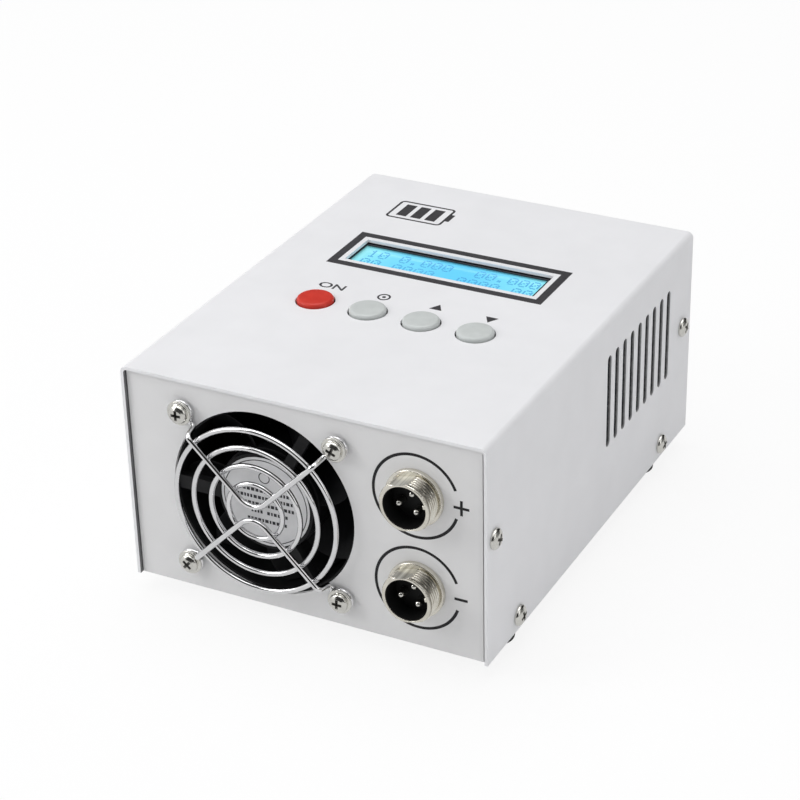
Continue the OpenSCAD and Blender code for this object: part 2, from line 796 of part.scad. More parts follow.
module wire_arc(r, d, start, sweep) {
    rotate(start) rotate_extrude(angle = sweep) translate([r, 0]) circle(d = d);
}

// One bent wire: a round elbow beside the middle and a straight leg to each upper corner,
// which drops behind the outer ring to the panel
module guard_arm() {
    right = [for (p = ramp_points) on_ray(p, 45)];
    left = [for (p = ramp_points) on_ray(p, 135)];
    bend = [for (a = [240:15:300])
        [arm_bend_r * cos(a), arm_bend_r * (sqrt(2) + sin(a)), arm_z]];
    start = [on_ray([arm_bend_r, arm_z], 135)];
    end = [on_ray([arm_bend_r, arm_z], 45)];
    wire(concat(backwards(left), start, bend, end, right), arm_wire_d, [0, 0, 1]);
}

module fan_screws() {
    flange_t = 0.7;
    dome_d = 5.8;
    tip_z = fan_nut_z - 1;
    seat_z = eye_z + arm_wire_d / 2 + seat;
    color([0.78, 0.77, 0.73]) at_fan() for (c = fan_corners) translate([c[0], c[1], seat_z]) {
        cylinder(d = washer_d, h = flange_t);
        translate([0, 0, flange_t - eps]) pan_screw(fan_screw_d, dome_d, 1.7, 0.3);
        translate([0, 0, tip_z - seat_z]) cylinder(d = fan_screw_d, h = seat_z - tip_z);
    }
}

module fan_nuts() {
    color([0.7, 0.7, 0.7]) at_fan() for (c = fan_corners)
        translate([c[0], c[1], fan_nut_z]) hex_nut(7, fan_nut_h, fan_screw_d + 2 * thread_fit);
}

// Sockets

module socket_shell() {
    chamfer = 0.5;
    color([0.8, 0.79, 0.75]) {
        difference() {
            union() {
                translate([0, 0, seat]) cylinder(d = socket_flange_d, h = socket_flange_t);
                intersection() {
                    union() {
                        translate([0, 0, -socket_rear_len])
                            cylinder(d = socket_thread_d, h = socket_rear_len + socket_proud - chamfer);
                        translate([0, 0, socket_proud - chamfer])
                            cylinder(d1 = socket_thread_d, d2 = socket_thread_d - 2 * chamfer, h = chamfer);
                    }
                    rotate(flat_angle)
                        cube([3 * socket_thread_d, socket_flats, 4 * socket_rear_len], center = true);
                }
            }
            translate([0, 0, -socket_rear_len - 1])
                cylinder(d = socket_bore_d, h = socket_rear_len + socket_proud + 2);
        }
        rotate(key_ridge_angle) translate([socket_bore_d / 2 - 0.8, -0.6, insert_face + seat])
            cube([1.1, 1.2, socket_proud - 0.6 - insert_face]);
    }
}

module pin_places(d) {
    for (i = [0:pin_count - 1])
        rotate(first_pin_angle + i * 360 / pin_count) translate([d / 2, 0, 0]) children();
}

module socket_insert() {
    color([0.06, 0.06, 0.06]) difference() {
        translate([0, 0, -socket_rear_len])
            cylinder(d = socket_bore_d - 2 * seat, h = socket_rear_len + insert_face);
        pin_places(pin_circle_d) translate([0, 0, -socket_rear_len - 1])
            cylinder(d = pin_d + 2 * seat, h = socket_rear_len + insert_face + 2);
    }
}

module socket_pins() {
    r = pin_d / 2;
    tip = socket_proud - pin_recess;
    color([0.82, 0.8, 0.74]) pin_places(pin_circle_d) {
        translate([0, 0, -socket_rear_len - 1]) rotate_extrude() {
            square([r, socket_rear_len + 1 + tip - r]);
            intersection() {
                translate([0, socket_rear_len + 1 + tip - r]) circle(r);
                square([r, 2 * socket_rear_len + tip]);
            }
        }
        difference() {
            translate([0, 0, -pin_tail]) cylinder(d = pin_d + 0.6, h = pin_tail - socket_rear_len - seat);
            translate([0, 0, -pin_tail - 1]) cylinder(d = pin_d - 0.4, h = 3);
        }
    }
}

module socket_nuts() {
    color([0.7, 0.7, 0.68]) for (side = [-1, 1])
        at_socket(side) translate([0, 0, -sheet_t - seat - socket_nut_h])
            hex_nut(socket_nut_af, socket_nut_h, socket_thread_d + 2 * thread_fit);
}

module positive_socket_shell() {
    at_socket(1) socket_shell();
}
module positive_socket_insert() {
    at_socket(1) socket_insert();
}
module positive_socket_pins() {
    at_socket(1) socket_pins();
}
module negative_socket_shell() {
    at_socket(-1) socket_shell();
}
module negative_socket_insert() {
    at_socket(-1) socket_insert();
}
module negative_socket_pins() {
    at_socket(-1) socket_pins();
}

// Display

module display_bezel() {
    color([0.08, 0.08, 0.08]) translate([display_x, display_y, bezel_z - bezel_h]) difference() {
        round_slab(bezel_w, bezel_l, bezel_h, 0.6);
        translate([0, 0, -1])
            round_slab(bezel_w - 2 * bezel_t, bezel_l - 2 * bezel_t, bezel_h + 1 - bezel_t, 0.3);
        translate([0, 0, bezel_h]) cube([window_w + 0.8, window_l + 0.8, bezel_h], center = true);
    }
}

module display_glass() {
    color([0.45, 0.85, 0.95]) translate([display_x, display_y, glass_z - glass_t / 2])
        cube([bezel_w - 2 * bezel_t - 0.4, bezel_l - 2 * bezel_t - 0.4, glass_t], center = true);
}

module display_backlight() {
    floor_gap = display_board_z + board_t + seat;
    h = glass_z - glass_t - seat - floor_gap;
    color([0.95, 0.96, 0.97]) translate([display_x, display_y, floor_gap + h / 2])
        cube([bezel_w - 2 * bezel_t - 0.4, bezel_l - 2 * bezel_t - 0.4, h], center = true);
}

module display_board() {
    color([0.05, 0.3, 0.16]) translate([display_x, display_y, display_board_z]) difference() {
        round_slab(display_board_w, display_board_l, board_t, 1);
        for (p = display_holes)
            translate([p[0] - display_x, p[1] - display_y, -1])
                cylinder(r = small_screw_d / 2 + clear_hole, h = board_t + 2);
    }
}

// Keys

module key_switches() {
    color([0.12, 0.12, 0.13]) for (x = key_x) translate([x, key_y, switch_z]) difference() {
        translate([0, 0, seat]) round_slab(switch_size, switch_size, switch_h - seat, 0.6);
        translate([0, 0, switch_floor])
            cylinder(d = collar_d + 0.6, h = switch_h - switch_floor - switch_lid);
        cylinder(r = plunger_d / 2 + plunger_fit, h = switch_h + 1);
    }
}

module contact_domes() {
    sphere_r = (dome_d * dome_d / 4 + dome_h * dome_h) / (2 * dome_h);
    color([0.75, 0.72, 0.6]) for (x = key_x) translate([x, key_y, switch_z + switch_floor + seat])
        rotate_extrude($fn = 128) intersection() {
            translate([0, dome_h - sphere_r]) circle(sphere_r, $fn = 720);
            square([dome_d / 2, dome_h]);
        }
}

module plunger(i) {
    stem_top = top_z + key_proud - 1.6 - switch_z;
    collar_top = switch_h - switch_lid - seat;
    color([0.85, 0.84, 0.8]) translate([key_x[i], key_y, switch_z]) {
        translate([0, 0, collar_top - collar_h]) cylinder(d = collar_d, h = collar_h);
        translate([0, 0, collar_top - eps]) cylinder(d = plunger_d, h = switch_h + 0.5 - collar_top);
        translate([-stem_size / 2, -stem_size / 2, switch_h])
            cube([stem_size, stem_size, stem_top - switch_h]);
    }
}

module key_cap(i, tint) {
    edge = 1;
    crown = 1.4;
    hub_d = stem_size * sqrt(2) + 2;
    hole = stem_size + 2 * stem_fit;
    color(tint) translate([key_x[i], key_y, top_z + key_proud - key_cap_h]) {
        difference() {
            rotate_extrude() {
                square([key_d / 2 - edge, key_cap_h]);
                square([key_d / 2, key_cap_h - edge]);
                intersection() {
                    translate([key_d / 2 - edge, key_cap_h - edge]) circle(edge);
                    square([key_d / 2, key_cap_h]);
                }
            }
            difference() {
                translate([0, 0, -1]) cylinder(d = key_d - 2 * crown, h = key_cap_h + 1 - crown);
                translate([0, 0, 0.4]) cylinder(d = hub_d, h = key_cap_h);
            }
            translate([-hole / 2, -hole / 2, -1]) cube([hole, hole, key_cap_h + 1 - 1.5]);
        }
    }
}

module on_button() {
    key_cap(0, [0.78, 0.2, 0.16]);
}
module set_button() {
    key_cap(1, [0.78, 0.78, 0.78]);
}
module up_button() {
    key_cap(2, [0.78, 0.78, 0.78]);
}
module down_button() {
    key_cap(3, [0.78, 0.78, 0.78]);
}
module on_plunger() {
    plunger(0);
}
module set_plunger() {
    plunger(1);
}
module up_plunger() {
    plunger(2);
}
module down_plunger() {
    plunger(3);
}

module key_board() {
    color([0.05, 0.3, 0.16]) translate([key_shift, key_y, key_board_z]) difference() {
        round_slab(key_board_w, key_board_l, board_t, 1);
        for (p = key_holes)
            translate([p[0] - key_shift, p[1] - key_y, -1])
                cylinder(r = small_screw_d / 2 + clear_hole, h = board_t + 2);
    }
}

// Studs that hang both boards under the cover, and their screws

module cover_studs() {
    color([0.75, 0.75, 0.74]) {
        for (p = display_holes) cover_stud(p, display_board_z + board_t + seat);
        for (p = key_holes) cover_stud(p, key_board_z + board_t + seat);
    }
}

module cover_stud(p, z) {
    translate([p[0], p[1], z]) difference() {
        cylinder(d = stud_d, h = roof_z - seat - z);
        translate([0, 0, -1]) cylinder(r = small_screw_d / 2 + thread_fit, h = roof_z - 1 - z + 1);
    }
}

module stud_screws() {
    color([0.78, 0.77, 0.73]) {
        for (p = display_holes) translate([p[0], p[1], display_board_z - seat]) stud_screw();
        for (p = key_holes) translate([p[0], p[1], key_board_z - seat]) stud_screw();
    }
}

module stud_screw() {
    rotate([180, 0, 0]) pan_screw(small_screw_d, small_head_d, small_head_h, board_t + 4);
}

// Main board

module board_standoffs() {
    color([0.8, 0.7, 0.4]) for (p = board_holes) translate([p[0], p[1], floor_z + seat]) difference() {
        cylinder(d = 6 / cos(30), h = standoff_h - 2 * seat, $fn = 6);
        translate([0, 0, -1]) cylinder(r = screw_d / 2 + thread_fit, h = standoff_h + 2);
    }
}

// Each standoff takes a screw from above and one from below, each power transistor one more
module inner_screws() {
    reach = standoff_h / 2 - 0.4;
    sink_reach = pad_t + device_t + 3;
    color([0.78, 0.77, 0.73]) {
        for (p = board_holes) {
            translate([p[0], p[1], board_top + seat])
                pan_screw(screw_d, screw_head_d, screw_head_h, board_t + reach);
            translate([p[0], p[1], case_z - seat]) rotate([180, 0, 0])
                pan_screw(screw_d, screw_head_d, low_head_h, sheet_t + reach);
        }
        at_devices() translate([pad_t + device_t + 2 * seat, 0, device_screw_h])
            rotate([0, 90, 0]) pan_screw(screw_d, screw_head_d, screw_head_h, sink_reach);
    }
}

module main_board() {
    color([0.05, 0.32, 0.18]) difference() {
        translate([0, board_front_y + board_l / 2, board_z]) round_slab(board_w, board_l, board_t, 2);
        for (p = board_holes)
            translate([p[0], p[1], board_z - 1]) cylinder(r = screw_d / 2 + clear_hole, h = board_t + 2);
    }
}

// Extrusion that the fan draws air through: an upright base plate with level fins
module heatsink() {
    gap = (heatsink_h - fin_t) / (fin_count - 1);
    hole_x = heatsink_w - heatsink_base_t + 1;
    hole_z = device_lift + device_screw_h - seat;
    color([0.7, 0.71, 0.73]) translate([heatsink_x, heatsink_y, board_top + seat]) difference() {
        translate([0, heatsink_l, 0]) rotate([90, 0, 0]) linear_extrude(heatsink_l) {
            translate([heatsink_w - heatsink_base_t, 0]) square([heatsink_base_t, heatsink_h]);
            for (i = [0:fin_count - 1]) translate([0, i * gap]) square([heatsink_w - 1, fin_t]);
        }
        for (y = device_y) translate([hole_x, y - heatsink_y, hole_z])
            rotate([0, 90, 0]) cylinder(r = screw_d / 2 + thread_fit, h = heatsink_base_t);
    }
}

module at_devices() {
    for (y = device_y) translate([device_face_x + seat, y, board_top + device_lift]) children();
}

module thermal_pads() {
    color([0.85, 0.6, 0.65]) at_devices() difference() {
        translate([0, -device_w / 2, 0]) cube([pad_t, device_w, device_h]);
        translate([-1, 0, device_screw_h]) rotate([0, 90, 0]) cylinder(d = device_hole_d, h = 3);
    }
}

module power_transistors() {
    lead_pitch = 5.45;
    color([0.1, 0.1, 0.1]) at_devices() translate([pad_t + seat, 0, 0]) {
        difference() {
            translate([0, -device_w / 2, 0]) cube([device_t, device_w, device_h]);
            translate([-1, 0, device_screw_h]) rotate([0, 90, 0])
                cylinder(d = device_hole_d, h = device_t + 2);
        }
        for (i = [-1:1]) translate([device_t / 2 - 0.3, i * lead_pitch - 0.6, seat - device_lift])
            cube([0.6, 1.2, device_lift + 1]);
    }
}

// Upright cans with a rolled groove near the foot
module capacitors() {
    color([0.15, 0.2, 0.4]) for (y = cap_y)
        translate([cap_x, y, board_top + seat]) rotate_extrude() difference() {
            square([cap_d / 2, cap_h]);
            translate([cap_d / 2 + 0.4, 3]) circle(1);
        }
}

module inductor_core() {
    color([0.75, 0.7, 0.35]) translate([parts_x, coil_y, coil_z]) difference() {
        cylinder(r = coil_r + core_half_w, h = core_h, center = true);
        cylinder(r = coil_r - core_half_w, h = core_h + 2, center = true);
    }
}

// Turns of thick wire round the core, each a closed loop
module inductor_turns() {
    inner_w = 2 * (coil_grip - coil_wire - 0.1);
    color([0.75, 0.4, 0.2]) translate([parts_x, coil_y, coil_z])
        for (i = [0:11]) rotate(15 + i * 27) translate([coil_r, 0, 0]) difference() {
            cube([2 * coil_grip, coil_wire, coil_turn_h], center = true);
            cube([inner_w, 2 * coil_wire, coil_turn_h - 2 * coil_wire], center = true);
        }
}

// Staple of resistance wire that the current is measured across
module current_shunt() {
    color([0.6, 0.55, 0.5]) translate([parts_x, shunt_y, board_top + seat]) rotate(90) {
        for (u = [-1, 1]) translate([u * shunt_r, 0, 0]) cylinder(d = shunt_wire, h = shunt_leg);
        translate([0, 0, shunt_leg]) rotate([90, 0, 0]) wire_arc(shunt_r, shunt_wire, 0, 180);
    }
}

module relay() {
    color([0.1, 0.2, 0.5]) translate([2, relay_y, board_top + seat])
        round_slab(relay_w, relay_l, relay_h, 0.8);
}

module control_chip() {
    color([0.08, 0.08, 0.08]) translate([chip_x, chip_y, board_top]) {
        translate([0, 0, 0.2]) round_slab(chip_size, chip_size, 1.5, 0.4);
        for (a = [0:90:270], i = [-5:5]) rotate(a)
            translate([chip_size / 2 - 0.3, i - 0.2, seat]) cube([1.4, 0.4, 0.5]);
    }
}

module data_socket() {
    color([0.75, 0.75, 0.76]) at_rear(-data_x, data_h) translate([0, 0, -sheet_t - 0.3 - data_len])
        difference() {
            round_slab(data_w, data_t, data_len, 0.5);
            translate([0, 0, 1.5]) round_slab(data_w - 0.8, data_t - 0.8, data_len, 0.3);
        }
}

// Rear power inlet: a threaded barrel with a centre pin, held by a nut inside
module power_inlet() {
    color([0.1, 0.1, 0.1]) at_rear(-inlet_x, inlet_h) difference() {
        union() {
            translate([0, 0, -inlet_len]) cylinder(d = inlet_d, h = inlet_len + inlet_proud);
            translate([0, 0, seat]) cylinder(d = inlet_d + 3, h = inlet_proud - 0.8);
        }
        translate([0, 0, inlet_proud - 10]) cylinder(d = inlet_bore_d, h = 11);
        translate([0, 0, -inlet_len - 1]) cylinder(d = inlet_pin_d + 2 * seat, h = 2 * inlet_len);
    }
}

module inlet_pin() {
    color([0.8, 0.79, 0.75]) at_rear(-inlet_x, inlet_h) translate([0, 0, -inlet_len - 4])
        cylinder(d = inlet_pin_d, h = inlet_len + 4 + inlet_proud - 1.5);
}

module inlet_nut() {
    color([0.7, 0.7, 0.68]) at_rear(-inlet_x, inlet_h) translate([0, 0, -sheet_t - seat - inlet_nut_h])
        hex_nut(inlet_d + 3, inlet_nut_h, inlet_d + 2 * thread_fit);
}

top_cover();
chassis();
cover_screws();
rubber_feet();
foot_screws();
fan_frame();
fan_bearing();
fan_circuit();
fan_stator();
fan_windings();
fan_label();
fan_impeller();
fan_shaft();
rotor_yoke();
rotor_magnet();
fan_guard();
fan_screws();
fan_nuts();
positive_socket_shell();
positive_socket_insert();
positive_socket_pins();
negative_socket_shell();
negative_socket_insert();
negative_socket_pins();
socket_nuts();
display_bezel();
display_glass();
display_backlight();
display_board();
key_board();
key_switches();
contact_domes();
on_button();
set_button();
up_button();
down_button();
on_plunger();
set_plunger();
up_plunger();
down_plunger();
cover_studs();
stud_screws();
main_board();
board_standoffs();
inner_screws();
heatsink();
thermal_pads();
power_transistors();
capacitors();
inductor_core();
inductor_turns();
current_shunt();
relay();
control_chip();
data_socket();
power_inlet();
inlet_pin();
inlet_nut();
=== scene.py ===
# Battery capacity tester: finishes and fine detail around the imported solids. Lengths are in metres.
import random
from math import cos, hypot, pi, radians, sin, tan

import bmesh
import bpy
from mathutils import Matrix, Vector


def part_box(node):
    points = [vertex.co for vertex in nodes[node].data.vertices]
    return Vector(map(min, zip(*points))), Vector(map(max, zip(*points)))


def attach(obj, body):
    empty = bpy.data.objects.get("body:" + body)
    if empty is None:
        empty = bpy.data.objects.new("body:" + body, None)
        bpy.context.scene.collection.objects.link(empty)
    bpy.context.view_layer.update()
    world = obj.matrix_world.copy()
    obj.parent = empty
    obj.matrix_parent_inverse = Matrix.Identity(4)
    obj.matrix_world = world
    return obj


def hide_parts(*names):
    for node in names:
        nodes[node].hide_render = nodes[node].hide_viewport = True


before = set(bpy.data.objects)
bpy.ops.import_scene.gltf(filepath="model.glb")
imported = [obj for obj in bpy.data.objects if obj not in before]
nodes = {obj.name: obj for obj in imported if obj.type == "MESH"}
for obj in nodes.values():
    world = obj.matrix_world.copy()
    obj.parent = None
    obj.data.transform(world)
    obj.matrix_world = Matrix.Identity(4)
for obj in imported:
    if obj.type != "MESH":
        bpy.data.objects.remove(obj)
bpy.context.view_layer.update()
scene = bpy.context.scene
scene.view_settings.view_transform = "Standard"
mm = 0.001
print("frame loaded:", len(nodes), "nodes")


# Places that several pieces share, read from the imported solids
def middleOf(nodeName):
    low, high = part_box(nodeName)
    return (low + high) / 2


coverLow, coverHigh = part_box("top_cover")
chassisLow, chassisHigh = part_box("chassis")
coverTop = coverHigh.z
panelY = chassisLow.y
fanCentre = Vector((middleOf("fan_frame").x, panelY, middleOf("fan_frame").z))
socketCentres = {
    side: Vector((middleOf(side + "_socket_shell").x, panelY, middleOf(side + "_socket_shell").z))
    for side in ("positive", "negative")
}
windowCentre = Vector((middleOf("display_bezel").x, middleOf("display_bezel").y, coverTop))
keyNames = ["on", "set", "up", "down"]
keyCentres = {name: middleOf(name + "_button") for name in keyNames}


# Node trees

def fill(tree, node, links):
    # fills a node's inputs with sockets, nodes or values; a node stands for its first output
    for key, source in links.items():
        if isinstance(source, bpy.types.Node):
            source = source.outputs[0]
        if isinstance(source, bpy.types.NodeSocket):
            tree.links.new(source, node.inputs[key])
        else:
            node.inputs[key].default_value = source


def put(tree, kind, links=None, **settings):
    # adds a node, sets its properties and fills its inputs
    node = tree.nodes.new(kind)
    for key, value in settings.items():
        setattr(node, key, value)
    fill(tree, node, links or {})
    return node


def calc(tree, operation, *values):
    return put(tree, "ShaderNodeMath", dict(enumerate(values)), operation=operation)


def startTree(treeName, inputs):
    # a geometry tree whose sizes are named inputs
    tree = bpy.data.node_groups.new(treeName, "GeometryNodeTree")
    tree.interface.new_socket("Geometry", in_out="INPUT", socket_type="NodeSocketGeometry")
    for label, kind in inputs.items():
        tree.interface.new_socket(label, in_out="INPUT", socket_type="NodeSocket" + kind)
    tree.interface.new_socket("Material", in_out="INPUT", socket_type="NodeSocketMaterial")
    tree.interface.new_socket("Geometry", in_out="OUTPUT", socket_type="NodeSocketGeometry")
    return tree, tree.nodes.new("NodeGroupInput").outputs


def endTree(tree, geometry, given, smooth=True):
    shaded = put(tree, "GeometryNodeSetShadeSmooth", {"Geometry": geometry, "Shade Smooth": smooth})
    real = put(tree, "GeometryNodeRealizeInstances", {"Geometry": shaded})
    finish = {"Geometry": real, "Material": given["Material"]}
    put(tree, "NodeGroupOutput", {"Geometry": put(tree, "GeometryNodeSetMaterial", finish)})
    return tree


def newObject(objectName, data):
    made = bpy.data.objects.new(objectName, data)
    scene.collection.objects.link(made)
    return made


def newPiece(pieceName, mesh, finish):
    mesh.name = pieceName
    if not mesh.materials:
        mesh.materials.append(finishes[finish])
    return newObject(pieceName, mesh)


def settle(piece, slotName, *replaced, body="case"):
    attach(piece, body)
    if replaced:
        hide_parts(*replaced)


def finishedMesh(holder):
    # the mesh that an object shows with its modifiers
    depsgraph = bpy.context.evaluated_depsgraph_get()
    return bpy.data.meshes.new_from_object(holder.evaluated_get(depsgraph))


def growPiece(pieceName, tree, base, finish, values):
    # runs a tree on a base mesh and keeps the result as a plain mesh
    holder = newObject(pieceName + "Base", base)
    grow = holder.modifiers.new("grow", "NODES")
    grow.node_group = tree
    settings = {**values, "Material": finishes[finish]}
    for item in tree.interface.items_tree:
        if item.in_out == "INPUT" and item.name in settings:
            grow[item.identifier] = settings[item.name]
    holder.update_tag()
    mesh = finishedMesh(holder)
    bpy.data.objects.remove(holder)
    return newPiece(pieceName, mesh, finish)


def keptMesh(work, meshName):
    mesh = bpy.data.meshes.new(meshName)
    work.to_mesh(mesh)
    work.free()
    return mesh


def shadeUpTo(mesh, angle):
    # smooth shading that breaks at edges sharper than the angle
    mesh.shade_smooth()
    mesh.set_sharp_from_angle(angle=radians(angle))


def meshFrom(work, meshName, smoothAngle=None):
    # turns a bmesh into a mesh with its faces outwards
    bmesh.ops.recalc_face_normals(work, faces=work.faces)
    mesh = keptMesh(work, meshName)
    if smoothAngle is not None:
        shadeUpTo(mesh, smoothAngle)
    return mesh


def joinMeshes(meshName, meshes):
    work = bmesh.new()
    for mesh in meshes:
        work.from_mesh(mesh)
    return keptMesh(work, meshName)


def bakeModifiers(piece):
    # replaces the mesh by its modified form and drops the modifiers
    bpy.context.view_layer.update()
    finished = finishedMesh(piece)
    piece.modifiers.clear()
    old = piece.data
    piece.data = finished
    finished.name = piece.name
    bpy.data.meshes.remove(old)
    return piece


# Shapes

def pointsMesh(meshName, places, edges=(), **attributes):
    # loose points, or a line of them, with a named value at each
    mesh = bpy.data.meshes.new(meshName)
    mesh.from_pydata([tuple(place) for place in places], edges, [])
    for label, values in attributes.items():
        several = isinstance(values[0], (tuple, Vector))
        made = mesh.attributes.new(label, "FLOAT_VECTOR" if several else "FLOAT", "POINT")
        for item, value in zip(made.data, values):
            if several:
                item.vector = value
            else:
                item.value = value
    return mesh


def rounded(corners, steps=5):
    # corners of (across, along, fillet radius) become a path with short arcs
    path = []
    for i, (across, along, fillet) in enumerate(corners):
        here = Vector((across, along))
        if not fillet:
            path.append(here)
            continue
        before, after = (Vector(corners[j][:2]) for j in (i - 1, (i + 1) % len(corners)))
        back, on = (before - here).normalized(), (after - here).normalized()
        half = back.angle(on) / 2
        centre = here + (back + on).normalized() * fillet / sin(half)
        first = (here + back * fillet / tan(half) - centre).normalized()
        last = (here + on * fillet / tan(half) - centre).normalized()
        path += [centre + first.slerp(last, k / steps) * fillet for k in range(steps + 1)]
    return path


def lathe(profile, segments, closed=False):
    # spins a profile of (radius, height) points round Z
    work = bmesh.new()
    line = [work.verts.new((point[0], 0, point[1])) for point in profile]
    edges = [work.edges.new(pair) for pair in zip(line, line[1:])]
    if closed:
        edges.append(work.edges.new((line[-1], line[0])))
    bmesh.ops.spin(work, geom=line + edges, cent=(0, 0, 0), axis=(0, 0, 1), angle=2 * pi, steps=segments)
    bmesh.ops.remove_doubles(work, verts=work.verts, dist=1e-7)
    return work


def packedCopy(nodeName):
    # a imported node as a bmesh, with its doubled points merged
    work = bmesh.new()
    work.from_mesh(nodes[nodeName].data)
    bmesh.ops.remove_doubles(work, verts=work.verts, dist=1e-6)
    return work


def looseParts(nodeName):
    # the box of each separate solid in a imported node
    work = packedCopy(nodeName)
    left, boxes = set(work.verts), []
    while left:
        found = [left.pop()]
        for vert in found:
            near = {edge.other_vert(vert) for edge in vert.link_edges} & left
            left -= near
            found += near
        spots = [vert.co for vert in found]
        boxes.append((Vector(map(min, zip(*spots))), Vector(map(max, zip(*spots)))))
    work.free()
    return sorted(boxes, key=lambda box: tuple(box[0]))


def softCopy(pieceName, nodeName, finish, edge, reshape=None):
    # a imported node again, with its sharp edges eased
    work = packedCopy(nodeName)
    for vert in work.verts if reshape else ():
        reshape(vert)
    bmesh.ops.dissolve_limit(work, angle_limit=radians(0.7), verts=work.verts, edges=work.edges)
    piece = newPiece(pieceName, meshFrom(work, pieceName, 30), finish)
    ease = piece.modifiers.new("ease", "BEVEL")
    ease.width = edge
    ease.segments = 2
    ease.limit_method = "ANGLE"
    ease.angle_limit = radians(32)
    ease.harden_normals = True
    return bakeModifiers(piece)


inkSink, inkRise = 0.01 * mm, 0.02 * mm


def ribbon(work, path, width, closed=False):
    # a thin printed line along (x, y) points, with mitred corners
    path = [Vector(point[:2]) for point in path]
    sections = []
    for i, here in enumerate(path):
        around = []
        if closed or i:
            around.append((here - path[i - 1]).normalized())
        if closed or i < len(path) - 1:
            around.append((path[(i + 1) % len(path)] - here).normalized())
        side = sum((Vector((-way.y, way.x)) for way in around), Vector((0, 0))).normalized()
        side *= width / 2 / max(0.25, side.dot(Vector((-around[0].y, around[0].x))))
        corners = ((-1, -inkSink), (1, -inkSink), (1, inkRise), (-1, inkRise))
        sections.append([work.verts.new((*(here + k * side), z)) for k, z in corners])
    for a, b in zip(sections, sections[1:] + (sections[:1] if closed else [])):
        for k in range(4):
            work.faces.new((a[k], a[(k + 1) % 4], b[(k + 1) % 4], b[k]))
    if not closed:
        work.faces.new(sections[0])
        work.faces.new(sections[-1][::-1])


def patchOf(work, outline):
    # a thin printed area inside an outline of (x, y) points
    low = [work.verts.new((point[0], point[1], -inkSink)) for point in outline]
    high = [work.verts.new((point[0], point[1], inkRise)) for point in outline]
    work.faces.new(low[::-1])
    work.faces.new(high)
    for i in range(len(outline)):
        j = (i + 1) % len(outline)
        work.faces.new((low[i], low[j], high[j], high[i]))


def turned(meshName, outline, segments, closed=True, steps=5):
    # a solid of revolution from a half outline with filleted corners
    return meshFrom(lathe(rounded(outline, steps), segments, closed), meshName, 30)


def arc(radius, start, end, steps):
    angles = [radians(start + (end - start) * k / steps) for k in range(steps + 1)]
    return [Vector((radius * cos(a), radius * sin(a))) for a in angles]


def circle(radius, steps):
    return arc(radius, 0, 360, steps)[:-1]


def box2d(width, length, x=0.0, y=0.0):
    return [Vector((x + u * width / 2, y + v * length / 2)) for u, v in ((-1, -1), (1, -1), (1, 1), (-1, 1))]


def letteringMesh(words, height, depth):
    # generic words or numbers as a mesh, centred on the origin
    curve = bpy.data.curves.new(words + "Lettering", "FONT")
    curve.body = words
    curve.size = height
    curve.extrude = depth
    curve.offset = height * 0.016
    curve.align_x, curve.align_y = "CENTER", "CENTER"
    holder = newObject(words + "Lettering", curve)
    mesh = finishedMesh(holder)
    bpy.data.objects.remove(holder)
    mesh.materials.clear()
    return mesh


def turnBy(degrees, axis="Z"):
    return Matrix.Rotation(radians(degrees), 4, axis)


def onPanel(centre, depth=0.0):
    # from panel coordinates (right, up, out) to the object's own
    return Matrix.Translation(centre + Vector((0, -depth, 0))) @ turnBy(90, "X")


# Finishes: every one is procedural, most with colour, roughness and bump from noise on object coordinates

def emptyTree(owner):
    owner.use_nodes = True
    owner.node_tree.nodes.clear()
    return owner.node_tree


def newMaterial(materialName):
    material = bpy.data.materials.new(materialName)
    tree = emptyTree(material)
    shader = put(tree, "ShaderNodeBsdfPrincipled")
    put(tree, "ShaderNodeOutputMaterial", {"Surface": shader})
    where = put(tree, "ShaderNodeTexCoord").outputs["Object"]
    return material, tree, shader, where


def noiseAt(tree, where, grain, detail=3.0, rough=0.5):
    links = {"Vector": where, "Scale": 1 / grain, "Detail": detail, "Roughness": rough}
    return put(tree, "ShaderNodeTexNoise", links)


def spread(tree, value, low, high, fromLow=0.3, fromHigh=0.7):
    links = {"Value": value, "From Min": fromLow, "From Max": fromHigh, "To Min": low, "To Max": high}
    return put(tree, "ShaderNodeMapRange", links)


def held(tree, value):
    # a value kept between 0 and 1
    return calc(tree, "MINIMUM", calc(tree, "MAXIMUM", value, 0.0), 1.0)


def alongAxis(tree, vector, axis):
    return put(tree, "ShaderNodeSeparateXYZ", {"Vector": vector}).outputs[axis]


def mixColours(tree, factor, first, second):
    links = {"Factor": factor, "A": (*first, 1), "B": (*second, 1)}
    return put(tree, "ShaderNodeMix", links, data_type="RGBA").outputs["Result"]


def bumpFrom(tree, shader, height, depth, strength=1.0):
    bump = put(tree, "ShaderNodeBump", {"Height": height, "Distance": depth, "Strength": strength})
    fill(tree, shader, {"Normal": bump})


def makeFinish(materialName, colour, second, grain, roughness, bumpGrain, bump,
               patch=None, metallic=0, specular=0.5, coat=0):
    # base finish: two close tones, a varied roughness and a fine bump
    material, tree, shader, where = newMaterial(materialName)
    tone = spread(tree, noiseAt(tree, where, grain * mm, 4), 0, 1)
    worn = noiseAt(tree, where, (patch or grain * 3) * mm, 2)
    fill(tree, shader, {
        "Base Color": mixColours(tree, tone, colour, second),
        "Roughness": spread(tree, worn, *roughness),
        "Metallic": metallic,
        "Specular IOR Level": specular,
        "Coat Weight": coat,
        "Coat Roughness": 0.1,
    })
    bumpFrom(tree, shader, noiseAt(tree, where, bumpGrain * mm, 3, 0.6), bump * mm)
    return material


